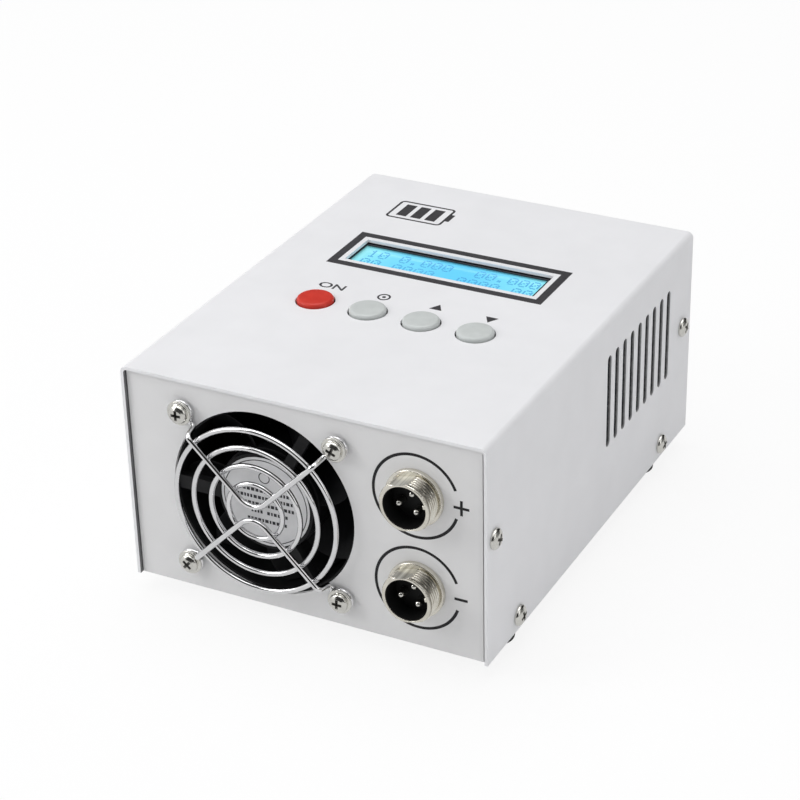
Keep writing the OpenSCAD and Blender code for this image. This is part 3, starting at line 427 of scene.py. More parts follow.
# two linear colours, grain, roughness from and to, bump grain, bump height and others; sizes in mm
finishLooks = {
    "whitePowderCoat": ((0.80, 0.80, 0.815), (0.775, 0.775, 0.79), 12, (0.36, 0.46), 0.7, 0.016,
                        {"patch": 30, "specular": 0.45}),
    "panelPowderCoat": ((0.75, 0.748, 0.75), (0.727, 0.725, 0.727), 10, (0.38, 0.48), 0.6, 0.018,
                        {"patch": 20, "specular": 0.45}),
    "nickelPlate": ((0.74, 0.73, 0.69), (0.66, 0.65, 0.61), 1.6, (0.12, 0.24), 0.6, 0.004, {"metallic": 1}),
    "brightWire": ((0.82, 0.82, 0.83), (0.75, 0.75, 0.76), 3, (0.03, 0.09), 1.4, 0.006, {"metallic": 1}),
    "blackFanPlastic": ((0.009, 0.009, 0.010), (0.014, 0.014, 0.015), 4, (0.42, 0.58), 0.35, 0.012,
                        {"specular": 0.2}),
    "bladePlastic": ((0.006, 0.006, 0.007), (0.010, 0.010, 0.011), 6, (0.4, 0.54), 0.5, 0.008,
                     {"specular": 0.12}),
    "footRubber": ((0.018, 0.018, 0.018), (0.03, 0.03, 0.029), 3, (0.6, 0.8), 0.5, 0.03, {"specular": 0.3}),
    "hubFilm": ((0.80, 0.80, 0.81), (0.74, 0.74, 0.75), 4, (0.34, 0.48), 0.8, 0.01, {"metallic": 0.1}),
    "bezelEnamel": ((0.006, 0.006, 0.009), (0.010, 0.010, 0.014), 4, (0.28, 0.4), 0.6, 0.01, {}),
    "redKeyPlastic": ((0.60, 0.040, 0.024), (0.53, 0.032, 0.020), 3, (0.36, 0.48), 0.4, 0.01,
                      {"specular": 0.3}),
    "greyKeyPlastic": ((0.56, 0.585, 0.575), (0.51, 0.535, 0.525), 3, (0.36, 0.5), 0.4, 0.01, {}),
    "printInk": ((0.030, 0.029, 0.032), (0.045, 0.043, 0.047), 1.2, (0.45, 0.6), 0.3, 0.006,
                 {"specular": 0.35}),
    "blackInsulator": ((0.006, 0.006, 0.006), (0.009, 0.009, 0.009), 4, (0.42, 0.55), 0.8, 0.003,
                       {"specular": 0.2}),
    # painted shade: a dark nickel for the inside of the screws' cross recesses
    "recessShade": ((0.24, 0.235, 0.22), (0.15, 0.145, 0.135), 1.2, (0.3, 0.45), 0.4, 0.004,
                    {"metallic": 0.8}),
    # painted shade: a dark metal for the faces deep in the socket thread
    "threadRoot": ((0.34, 0.31, 0.255), (0.24, 0.215, 0.17), 1.2, (0.32, 0.46), 0.5, 0.004,
                   {"metallic": 0.8}),
    "panelInk": ((0.012, 0.0115, 0.013), (0.018, 0.017, 0.019), 1.2, (0.45, 0.6), 0.3, 0.004,
                 {"specular": 0.25}),
    "labelInk": ((0.03, 0.03, 0.034), (0.055, 0.055, 0.06), 0.8, (0.45, 0.6), 0.3, 0.004, {"specular": 0.3}),
    # painted shade: a dark grey for the cover's inner faces
    "coverInside": ((0.20, 0.20, 0.205), (0.16, 0.16, 0.165), 8, (0.5, 0.6), 0.6, 0.01, {"specular": 0.3}),
    "windowEdge": ((0.88, 0.83, 0.84), (0.85, 0.80, 0.81), 3, (0.45, 0.55), 0.4, 0.01, {"specular": 0.3}),
    "stemPlastic": ((0.66, 0.64, 0.58), (0.6, 0.58, 0.52), 2, (0.4, 0.5), 0.4, 0.01, {}),
    "turnedBrass": ((0.62, 0.5, 0.24), (0.54, 0.42, 0.18), 1, (0.24, 0.36), 0.3, 0.01, {"metallic": 1}),
    "sinteredBronze": ((0.42, 0.28, 0.13), (0.34, 0.22, 0.1), 0.6, (0.4, 0.55), 0.2, 0.02, {"metallic": 1}),
    "anodisedAluminium": ((0.022, 0.022, 0.025), (0.03, 0.03, 0.034), 6, (0.4, 0.52), 0.6, 0.02,
                          {"metallic": 0.5}),
    "laminatedSteel": ((0.3, 0.3, 0.31), (0.22, 0.22, 0.23), 0.8, (0.36, 0.5), 0.3, 0.03, {"metallic": 1}),
    "groundSteel": ((0.56, 0.56, 0.58), (0.48, 0.48, 0.5), 1, (0.16, 0.26), 0.3, 0.006, {"metallic": 1}),
    "bondedFerrite": ((0.03, 0.028, 0.028), (0.05, 0.046, 0.045), 0.8, (0.5, 0.7), 0.3, 0.03, {}),
    "enamelledCopper": ((0.52, 0.2, 0.07), (0.42, 0.14, 0.045), 1.2, (0.24, 0.36), 0.4, 0.03,
                        {"metallic": 1, "coat": 0.4}),
    "solderMask": ((0.01, 0.12, 0.05), (0.008, 0.09, 0.035), 4, (0.2, 0.34), 0.8, 0.02, {"coat": 0.3}),
    "siliconePad": ((0.6, 0.34, 0.36), (0.52, 0.28, 0.3), 2, (0.6, 0.75), 0.4, 0.03, {}),
    "mouldedEpoxy": ((0.014, 0.014, 0.014), (0.024, 0.024, 0.024), 1, (0.46, 0.6), 0.3, 0.02, {}),
    "canSleeve": ((0.02, 0.035, 0.11), (0.016, 0.028, 0.09), 4, (0.22, 0.34), 1, 0.01, {}),
    "powderCore": ((0.5, 0.42, 0.1), (0.42, 0.35, 0.08), 1, (0.4, 0.55), 0.4, 0.03, {}),
    "shuntAlloy": ((0.32, 0.27, 0.23), (0.26, 0.22, 0.18), 1, (0.3, 0.42), 0.4, 0.01, {"metallic": 1}),
    "relayPlastic": ((0.015, 0.06, 0.28), (0.012, 0.05, 0.24), 3, (0.26, 0.36), 0.5, 0.01, {}),
    "springSteel": ((0.56, 0.52, 0.4), (0.5, 0.46, 0.35), 1, (0.2, 0.3), 0.3, 0.006, {"metallic": 1}),
    "stampedShell": ((0.56, 0.56, 0.57), (0.48, 0.48, 0.49), 2, (0.24, 0.36), 0.4, 0.01, {"metallic": 1}),
}
finishes = {name: makeFinish(name, *look[:-1], **look[-1]) for name, look in finishLooks.items()}


def slotEdgeFinish():
    # painted shade on a cut slot's wall: near black deep inside the slot, pale grey at its outer edge, with a
    # noisy border between
    look = {"outer": (0.60, 0.60, 0.61), "inner": (0.012, 0.012, 0.013), "shadeDepth": 0.9 * mm, "shadeWobble": 0.08}
    material, tree, shader, where = newMaterial("slotEdge")
    out = calc(tree, "ABSOLUTE", alongAxis(tree, where, "X"))
    # the painted shade lifts from dark to pale over the last part of the wall, towards the cover's outer face
    paintedTone = spread(tree, out, 0, 1, coverHigh.x - look["shadeDepth"], coverHigh.x)
    shadeWobble = spread(tree, noiseAt(tree, where, 1.2 * mm, 2), -look["shadeWobble"], look["shadeWobble"])
    paintedTone = held(tree, calc(tree, "ADD", paintedTone, shadeWobble))
    fill(tree, shader, {
        "Base Color": mixColours(tree, paintedTone, look["inner"], look["outer"]),
        "Roughness": spread(tree, noiseAt(tree, where, 2 * mm, 2), 0.45, 0.6),
        "Specular IOR Level": 0.25,
    })
    bumpFrom(tree, shader, noiseAt(tree, where, 0.4 * mm, 3), 0.008 * mm)
    return material


def litDisplayFinish():
    # the lit cell: cloudy, and paler towards its two ends
    glow = {"middle": (0.12, 0.53, 0.78), "ends": (0.30, 0.76, 0.78), "light": 0.42, "cloud": 0.12,
            "fade": 2.4}
    low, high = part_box("display_glass")
    material, tree, shader, where = newMaterial("litDisplay")
    centred = put(tree, "ShaderNodeMapping", {"Vector": where, "Location": -windowCentre})
    reach = calc(tree, "DIVIDE", calc(tree, "ABSOLUTE", alongAxis(tree, centred, "X")), (high.x - low.x) / 2)
    cloud = spread(tree, noiseAt(tree, where, 18 * mm, 2), -glow["cloud"], glow["cloud"])
    fade = held(tree, calc(tree, "ADD", calc(tree, "POWER", reach, glow["fade"]), cloud))
    colour = mixColours(tree, fade, glow["middle"], glow["ends"])
    fill(tree, shader, {"Base Color": colour, "Emission Color": colour, "Emission Strength": glow["light"],
                        "Roughness": 0.12, "Coat Weight": 0.6})
    bumpFrom(tree, shader, noiseAt(tree, where, 4 * mm, 1), 0.004 * mm)
    return material


def dotFinish():
    # liquid-crystal dots: a little deeper than the lit field around them
    look = {"deep": (0.060, 0.30, 0.58), "pale": (0.09, 0.36, 0.64), "light": 0.35}
    material, tree, shader, where = newMaterial("displayDotInk")
    cloud = spread(tree, noiseAt(tree, where, 20 * mm, 2), 0, 1)
    colour = mixColours(tree, cloud, look["deep"], look["pale"])
    fill(tree, shader, {"Base Color": colour, "Emission Color": colour, "Emission Strength": look["light"],
                        "Roughness": 0.2})
    return material


def turnedNickelFinish():
    # nickel over turned metal: soft cloudy wear and a faint tool mark round the axis
    look = {"bright": (0.80, 0.775, 0.70), "dull": (0.68, 0.65, 0.57), "markPitch": 0.9 * mm, "mark": 0.1}
    material, tree, shader, where = newMaterial("turnedNickel")
    turns = calc(tree, "MULTIPLY", alongAxis(tree, where, "Y"), 2 * pi / look["markPitch"])
    mark = calc(tree, "MULTIPLY", calc(tree, "SINE", turns), look["mark"])
    cloud = noiseAt(tree, where, 3 * mm, 3)
    fill(tree, shader, {
        "Base Color": mixColours(tree, spread(tree, cloud, 0, 1), look["bright"], look["dull"]),
        "Roughness": spread(tree, noiseAt(tree, where, 2.4 * mm, 3), 0.17, 0.29),
        "Metallic": 1,
    })
    bumpFrom(tree, shader, calc(tree, "ADD", mark, cloud), 0.006 * mm, 0.6)
    return material


def milledNickelFinish():
    # nickel over a milled flat: dull, with streaks along the axis
    look = {"bright": (0.73, 0.72, 0.67), "dull": (0.29, 0.28, 0.245), "streak": 1.1 * mm, "drawn": 0.07}
    material, tree, shader, where = newMaterial("milledNickel")
    drawn = put(tree, "ShaderNodeMapping", {"Vector": where, "Scale": (1, look["drawn"], 1)})
    streak = noiseAt(tree, drawn, look["streak"], 3)
    fill(tree, shader, {
        "Base Color": mixColours(tree, spread(tree, streak, 0, 1), look["bright"], look["dull"]),
        "Roughness": spread(tree, noiseAt(tree, where, 2 * mm, 2), 0.40, 0.52),
        "Metallic": 1,
    })
    bumpFrom(tree, shader, streak, 0.01 * mm, 0.6)
    return material


for made in (milledNickelFinish(), slotEdgeFinish(), litDisplayFinish(), dotFinish(), turnedNickelFinish()):
    finishes[made.name] = made
print("finishes made:", len(finishes))

nodeFinishes = {
    "whitePowderCoat": "top_cover",
    "panelPowderCoat": "chassis",
    "nickelPlate": "cover_screws foot_screws fan_screws fan_nuts socket_nuts inner_screws stud_screws "
                   "inlet_nut inlet_pin positive_socket_pins negative_socket_pins",
    "footRubber": "rubber_feet",
    "blackFanPlastic": "fan_frame",
    "bladePlastic": "fan_impeller",
    "sinteredBronze": "fan_bearing",
    "solderMask": "fan_circuit display_board key_board main_board",
    "laminatedSteel": "fan_stator rotor_yoke",
    "enamelledCopper": "fan_windings inductor_turns",
    "hubFilm": "fan_label",
    "groundSteel": "fan_shaft",
    "bondedFerrite": "rotor_magnet",
    "brightWire": "fan_guard",
    "turnedNickel": "positive_socket_shell negative_socket_shell",
    "blackInsulator": "positive_socket_insert negative_socket_insert power_inlet key_switches",
    "bezelEnamel": "display_bezel",
    "litDisplay": "display_glass",
    "stemPlastic": "display_backlight on_plunger set_plunger up_plunger down_plunger",
    "springSteel": "contact_domes",
    "redKeyPlastic": "on_button",
    "greyKeyPlastic": "set_button up_button down_button",
    "turnedBrass": "cover_studs board_standoffs",
    "anodisedAluminium": "heatsink",
    "siliconePad": "thermal_pads",
    "mouldedEpoxy": "power_transistors control_chip",
    "canSleeve": "capacitors",
    "powderCore": "inductor_core",
    "shuntAlloy": "current_shunt",
    "relayPlastic": "relay",
    "stampedShell": "data_socket",
}
for finishName, members in nodeFinishes.items():
    for member in members.split():
        nodes[member].data.materials.clear()
        nodes[member].data.materials.append(finishes[finishName])
unfinished = sorted(set(nodes) - set(" ".join(nodeFinishes.values()).split()))
print("nodes without a finish:", unfinished)


# Geometry trees: copies on points, bent wire, guard rings, cut threads

def valueOf(tree, label, kind="FLOAT"):
    return put(tree, "GeometryNodeInputNamedAttribute", {"Name": label}, data_type=kind)


def copiesTree():
    # a copy at each point, its Z along the point's aim, turned by a seeded angle
    tree, given = startTree("placeCopies", {"Copied": "Object", "Most Spin": "Float", "Seed": "Int",
                                            "Recess Material": "Material"})
    aim = valueOf(tree, "aim", "FLOAT_VECTOR")
    aimed = put(tree, "FunctionNodeAlignRotationToVector", {"Vector": aim}, axis="Z")
    spin = put(tree, "FunctionNodeRandomValue", {"Seed": given["Seed"]}, data_type="FLOAT").outputs["Value"]
    angle = calc(tree, "MULTIPLY", spin, given["Most Spin"])
    twist = put(tree, "FunctionNodeAxisAngleToRotation", {"Axis": (0, 0, 1), "Angle": angle})
    both = put(tree, "FunctionNodeRotateRotation",
               {"Rotation": aimed, "Rotate By": twist}, rotation_space="LOCAL")
    copied = put(tree, "GeometryNodeObjectInfo", {"Object": given["Copied"], "As Instance": True})
    links = {"Points": given["Geometry"], "Instance": copied.outputs["Geometry"], "Rotation": both}
    placed = put(tree, "GeometryNodeInstanceOnPoints", links)
    real = put(tree, "GeometryNodeRealizeInstances", {"Geometry": placed})
    links = {"Geometry": real, "Material": given["Material"]}
    plain = put(tree, "GeometryNodeSetMaterial", links)
    # faces marked as pressed take the recess finish: painted shade in the cross
    links = {"Geometry": plain, "Selection": valueOf(tree, "pressed", "BOOLEAN"),
             "Material": given["Recess Material"]}
    put(tree, "NodeGroupOutput", {"Geometry": put(tree, "GeometryNodeSetMaterial", links)})
    return tree


def tubeAlong(tree, curve, given, caps):
    links = {"Resolution": 18, "Radius": given["Wire Radius"]}
    section = put(tree, "GeometryNodeCurvePrimitiveCircle", links)
    links = {"Curve": curve, "Profile Curve": section, "Fill Caps": caps}
    return put(tree, "GeometryNodeCurveToMesh", links)


def wireTree():
    # round wire along a line of points, each corner filleted by its own bend radius
    tree, given = startTree("bentWire", {"Wire Radius": "Float"})
    line = put(tree, "GeometryNodeMeshToCurve", {"Mesh": given["Geometry"]})
    links = {"Curve": line, "Radius": valueOf(tree, "bend"), "Limit Radius": True, "Count": 14}
    soft = put(tree, "GeometryNodeFilletCurve", links, mode="POLY")
    return endTree(tree, tubeAlong(tree, soft, given, True), given)


def ringsTree():
    # concentric wire rings, each one pitch wider than the last
    tree, given = startTree("guardRings", {"Count": "Int", "First Radius": "Float", "Ring Pitch": "Float",
                                           "Wire Radius": "Float"})
    spots = put(tree, "GeometryNodeMeshLine", {"Count": given["Count"], "Offset": (0, 0, 0)})
    index = put(tree, "GeometryNodeInputIndex")
    radius = calc(tree, "MULTIPLY_ADD", index, given["Ring Pitch"], given["First Radius"])
    circle = put(tree, "GeometryNodeCurvePrimitiveCircle", {"Resolution": 144, "Radius": 1.0})
    placed = put(tree, "GeometryNodeInstanceOnPoints",
                 {"Points": spots, "Instance": circle, "Scale": radius})
    real = put(tree, "GeometryNodeRealizeInstances", {"Geometry": placed})
    return endTree(tree, tubeAlong(tree, real, given, False), given)


def threadTree():
    # cuts a helical thread where the thread value is 1, then mills the two flats
    tree, given = startTree("cutThread", {"Pitch": "Float", "Depth": "Float", "Across Flats": "Float",
                                          "Flat Angle": "Float"})

    def times(first, second):
        return calc(tree, "MULTIPLY", first, second)

    def plus(first, second):
        return calc(tree, "ADD", first, second)

    spot = put(tree, "GeometryNodeInputPosition")
    x, y, z = put(tree, "ShaderNodeSeparateXYZ", {"Vector": spot}).outputs
    turn = calc(tree, "DIVIDE", calc(tree, "ARCTAN2", y, x), 2 * pi)
    phase = calc(tree, "SUBTRACT", calc(tree, "DIVIDE", z, given["Pitch"]), turn)
    wave = times(calc(tree, "PINGPONG", phase, 0.5), 2.0)
    radius = calc(tree, "SQRT", plus(times(x, x), times(y, y)))
    cut = times(times(wave, given["Depth"]), valueOf(tree, "thread"))
    shrink = calc(tree, "DIVIDE", calc(tree, "SUBTRACT", radius, cut), radius)
    x, y = times(x, shrink), times(y, shrink)
    flatX, flatY = (calc(tree, way, given["Flat Angle"]) for way in ("COSINE", "SINE"))
    out = plus(times(x, flatX), times(y, flatY))
    half = calc(tree, "DIVIDE", given["Across Flats"], 2)
    kept = calc(tree, "MAXIMUM", calc(tree, "MINIMUM", out, half), times(half, -1))
    push = times(calc(tree, "SUBTRACT", kept, out), valueOf(tree, "milled"))
    links = {"X": plus(x, times(push, flatX)), "Y": plus(y, times(push, flatY)), "Z": z}
    place = put(tree, "ShaderNodeCombineXYZ", links)
    moved = put(tree, "GeometryNodeSetPosition", {"Geometry": given["Geometry"], "Position": place})
    return endTree(tree, moved, given, False)


placeCopies, bentWire = copiesTree(), wireTree()
print("geometry trees made")


# Case

def foldChassis(vert):
    # the fold under the front panel is drawn sharp, and the panel ends short of the cover at the right
    fold = {"centre": 2 * mm, "outer": (2 * mm, 0.5 * mm, 0.5 * mm), "inner": (1 * mm, 0.1 * mm, 1.1 * mm)}
    seam = {"lip": 1.01 * mm, "deep": 9 * mm, "gap": 0.52 * mm}
    if vert.co.x > chassisHigh.x - seam["lip"] and vert.co.y < panelY + seam["deep"]:
        vert.co.x -= seam["gap"]
    centre = Vector((panelY + fold["centre"], chassisLow.z + fold["centre"]))
    spoke = Vector((vert.co.y, vert.co.z)) - centre
    for packed, drawn, corner in (fold["outer"], fold["inner"]):
        if max(spoke) < 0.01 * mm and abs(spoke.length - packed) < 0.03 * mm:
            middle = Vector((panelY + corner, chassisLow.z + corner))
            vert.co.y, vert.co.z = middle + spoke.normalized() * drawn
            return


def closeKeyHoles(vert):
    # the holes in the cover lie close round the caps
    hole = {"packed": 6.5 * mm, "drawn": 6.1 * mm}
    for centre in keyCentres.values():
        out = Vector((vert.co.x - centre.x, vert.co.y - centre.y))
        if abs(out.length - hole["packed"]) < 0.05 * mm:
            vert.co.x, vert.co.y = Vector((centre.x, centre.y)) + out.normalized() * hole["drawn"]


def narrowBezel(vert):
    # the bezel's lip shows as a thin black line round the lit cell
    lip = {"packed": (32.6 * mm, 8.15 * mm), "left": -32.0 * mm, "right": 30.6 * mm, "front": -7.0 * mm,
           "rear": 6.8 * mm}
    across, along = vert.co.x - windowCentre.x, vert.co.y - windowCentre.y
    if abs(abs(across) - lip["packed"][0]) < 0.06 * mm and abs(abs(along) - lip["packed"][1]) < 0.06 * mm:
        vert.co.x = windowCentre.x + lip["right" if across > 0 else "left"]
        vert.co.y = windowCentre.y + lip["rear" if along > 0 else "front"]


def paintCover(mesh):
    # painted shade: dark inner faces and dark slot walls; and a pale edge round the window
    paintedTone = {"inner": 0.7 * mm, "edge": 1.1 * mm, "slots": (30 * mm, 70 * mm), "slotEnds": 5 * mm,
             "window": 33 * mm, "front": 10 * mm}
    for finish in ("coverInside", "slotEdge", "windowEdge"):
        mesh.materials.append(finishes[finish])
    for face in mesh.polygons:
        spot, way = face.center, face.normal
        inside = abs(spot.x) < coverHigh.x - paintedTone["inner"] and spot.z < coverTop - paintedTone["inner"]
        # the cover's inner faces take the dark finish: painted shade
        if inside and (abs(way.x) > 0.9 or way.z < -0.9):
            face.material_index = 1
        elif abs(spot.x) > coverHigh.x - paintedTone["edge"] and paintedTone["slots"][0] < spot.z < paintedTone["slots"][1]:
            if abs(way.x) < 0.5 and abs(spot.y) < coverHigh.y - paintedTone["slotEnds"]:
                face.material_index = 2
        elif max(abs(spot.x - windowCentre.x), abs(spot.y - windowCentre.y)) < paintedTone["window"]:
            if abs(way.z) < 0.5 and spot.y > keyCentres["on"].y + paintedTone["front"]:
                face.material_index = 3


def makeCase():
    # piece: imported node, finish, slot, width of the eased edge, and what is drawn closer to the object
    shells = {
        "coverShell": ("top_cover", "whitePowderCoat", "cover_paint", 0.16 * mm, closeKeyHoles),
        "chassisShell": ("chassis", "panelPowderCoat", "chassis_paint", 0.16 * mm, foldChassis),
        "fanHousing": ("fan_frame", "blackFanPlastic", "fan_plastic", 0.25 * mm, None),
        "displayFrame": ("display_bezel", "bezelEnamel", "bezel_black", 0.12 * mm, narrowBezel),
    }
    for pieceName, (nodeName, finish, slotName, edge, reshape) in shells.items():
        piece = softCopy(pieceName, nodeName, finish, edge, reshape)
        if nodeName == "top_cover":
            paintCover(piece.data)
        settle(piece, slotName, nodeName)


# Screws and feet

def threadedShank(radius, start, end, pitch):
    # zigzag profile of a screw thread, from the head down to the tip
    cut = 0.32 * pitch
    steps = range(int(abs(end - start) / pitch * 2))
    return [(radius - cut * (k % 2), start - k * pitch / 2) for k in steps] + [(radius * 0.6, end), (0, end)]


def panProfile(radius, height, shank, length, crown, washer=0.0, lip=0.0):
    # half outline of a pan head with an optional washer under it
    head = [(0, height + lip, 0), (radius * 0.55, height * 0.97 + lip, crown),
            (radius, height * 0.55 + lip, crown * 0.8)]
    if washer:
        head += [(radius * 1.02, lip, 0.12 * mm), (washer, lip, 0.2 * mm), (washer, 0, 0.1 * mm)]
    else:
        head += [(radius, 0, 0.12 * mm)]
    return rounded(head + [(shank, 0, 0)], 6) + threadedShank(shank, -0.1 * mm, -length, 0.7 * mm)


def crossHeadScrew(screwName, profile, top, span, slot, depth):
    # turned head and threaded shank, with a tapered cross pressed into the head
    taper = {"span": 0.42, "slot": 0.7, "above": 0.3 * mm}
    mark = {"arm": 0.52 * slot, "reach": 0.5 * span, "steep": 0.75, "lowest": 0.2 * mm, "floor": 0.02 * mm}
    body = newPiece(screwName, meshFrom(lathe(profile, 48), screwName, 24), "nickelPlate")
    cutters = []
    for turn in (0, 90):
        work = bmesh.new()
        bmesh.ops.create_cube(work, size=1)
        for vert in work.verts:
            deep = vert.co.z < 0
            vert.co.x *= span * (taper["span"] if deep else 1.0)
            vert.co.y *= slot * (taper["slot"] if deep else 1.0)
            vert.co.z = top + (-depth if deep else taper["above"])
        work.transform(turnBy(turn))
        cutter = newPiece(screwName + "Cut" + str(turn), meshFrom(work, "cut"), "nickelPlate")
        press = body.modifiers.new("press" + str(turn), "BOOLEAN")
        press.operation, press.object, press.solver = "DIFFERENCE", cutter, "EXACT"
        cutters.append(cutter)
    bakeModifiers(body)
    # the faces of the pressed cross are marked for the dark recess finish: painted shade
    pressed = body.data.attributes.new("pressed", "BOOLEAN", "FACE")
    for face, item in zip(body.data.polygons, pressed.data):
        x, y, z = face.center
        arm = min(abs(x), abs(y)) < mark["arm"] and max(abs(x), abs(y)) < mark["reach"]
        wall = abs(face.normal.z) < mark["steep"] and z > mark["lowest"] and hypot(x, y) < mark["reach"]
        item.value = arm and (wall or abs(z - top + depth) < mark["floor"])
    for cutter in cutters:
        bpy.data.objects.remove(cutter)
    return body


def copyOut(pieceName, source, places, aims, finish, spin, seed, slotName, replaced):
    # copies of a source piece at the places, kept as one plain mesh
    base = pointsMesh(pieceName + "Places", places, aim=aims)
    values = {"Copied": source, "Most Spin": spin, "Seed": seed, "Recess Material": finishes["recessShade"]}
    made = growPiece(pieceName, placeCopies, base, finish, values)
    shadeUpTo(made.data, 24)
    bpy.data.objects.remove(source)
    settle(made, slotName, replaced)


def makeScrews():
    # head: radius, height, shank's radius, length, crown, washer and lip; cross: top, span, slot, depth
    screws = {
        "cover": {"seed": 4, "head": (3.2, 1.8, 1.48, 5.9, 1.3), "cross": (1.8, 3.9, 0.95, 1.25)},
        "fan": {"seed": 9, "head": (2.9, 1.7, 1.95, 9.8, 1.2, 3.8, 0.7), "cross": (2.4, 3.7, 0.95, 1.3)},
        "foot": {"seed": 2, "head": (3.2, 1.8, 1.48, 5.9, 1.3), "cross": (1.8, 3.4, 0.9, 1.1)},
    }
    seat = {"coverGap": 0.05 * mm, "fanHead": 2.4 * mm, "inFoot": 2.95 * mm, "mostSpin": 1.57}
    for name, screw in screws.items():
        places, aims = [], []
        for low, high in looseParts(name + "_screws"):
            x, y, z = (low + high) / 2
            side = 1 if x > 0 else -1
            place, aim = {
                "cover": ((side * (coverHigh.x + seat["coverGap"]), y, z), (side, 0, 0)),
                "fan": ((x, low.y + seat["fanHead"], z), (0, -1, 0)),
                "foot": ((x, y, seat["inFoot"]), (0, 0, -1)),
            }[name]
            places.append(place)
            aims.append(aim)
        profile = panProfile(*(size * mm for size in screw["head"]))
        source = crossHeadScrew(name + "Screw", profile, *(size * mm for size in screw["cross"]))
        copyOut(name + "ScrewSet", source, places, aims, "nickelPlate", seat["mostSpin"], screw["seed"],
                "nickel_screw", name + "_screws")


def makeFeet():
    # tapered rubber feet with a rounded rim and a recess for the screw
    foot = {"floor": 5.5 * mm, "top": 6 * mm, "height": 6 * mm, "recess": 3.7 * mm, "deep": 3 * mm,
            "hole": 1.7 * mm}
    outline = [(foot["recess"], 0, 0.3 * mm), (foot["floor"], 0, 0.7 * mm),
               (foot["top"], foot["height"], 0.15 * mm), (foot["hole"], foot["height"], 0),
               (foot["hole"], foot["deep"], 0), (foot["recess"], foot["deep"], 0.2 * mm)]
    source = newPiece("footShape", turned("footShape", outline, 56), "footRubber")
    places = [((low.x + high.x) / 2, (low.y + high.y) / 2, low.z) for low, high in looseParts("rubber_feet")]
    copyOut("feetSet", source, places, [(0, 0, 1)] * len(places), "footRubber", 0.0, 1,
            "foot_rubber", "rubber_feet")


# Fan guard: four rings and two bent wires whose ends curl round the screws

def makeGuard():
    guard = {"rings": 4, "first": 8.8 * mm, "last": 26.07 * mm, "ringWire": 0.8 * mm, "armWire": 0.85 * mm,
             "ringOut": 4.4 * mm, "armOut": 5.9 * mm, "eyeOut": 0.92 * mm, "corner": 35.355 * mm,
             "eye": 3.05 * mm, "eyeTurn": 296, "elbow": 5.8 * mm, "rampTop": 28.8 * mm, "rampFoot": 29.7 * mm,
             "neck": 50}
    pitch = (guard["last"] - guard["first"]) / (guard["rings"] - 1)
    values = {"Count": guard["rings"], "First Radius": guard["first"], "Ring Pitch": pitch,
              "Wire Radius": guard["ringWire"]}
    start = pointsMesh("start", [(0, 0, 0)])
    rings = growPiece("guardRings", ringsTree(), start, "brightWire", values)
    rings.data.transform(onPanel(fanCentre, guard["ringOut"]))

    def leg(angle):
        # from the eyelet's end round the screw, down the neck and up the ramp
        neck = radians(guard["neck"])
        eye, corner, low = guard["eye"], guard["corner"], guard["eyeOut"]
        touch = 270 - guard["neck"]
        loop = [radians(a) for a in range(touch + guard["eyeTurn"], touch - 1, -8)]
        path = [(corner + eye * cos(a), eye * sin(a), low, 0) for a in loop]
        path += [(corner - eye * (sin(neck) + cos(neck) / tan(neck)), 0, low, 1.2 * mm),
                 (guard["rampFoot"], 0, low, 1.7 * mm), (guard["rampTop"], 0, guard["armOut"], 1.7 * mm)]
        return [(turnBy(angle) @ Vector(point[:3]), point[3]) for point in path]

    wires = []
    for number, (first, second) in enumerate(((135, 45), (315, 225))):
        path = leg(first) + [(Vector((0, 0, guard["armOut"])), guard["elbow"])] + leg(second)[::-1]
        base = pointsMesh("bend" + str(number), [spot for spot, _ in path],
                          [(i, i + 1) for i in range(len(path) - 1)], bend=[bend for _, bend in path])
        wire = growPiece("guardWire" + str(number), bentWire, base, "brightWire",
                         {"Wire Radius": guard["armWire"]})
        wire.data.transform(onPanel(fanCentre))
        wires.append(wire)
    for piece in [rings] + wires:
        settle(piece, "guard_wire", "fan_guard")


# Fan: rotor with leaning blades, rooted in the hub's wall

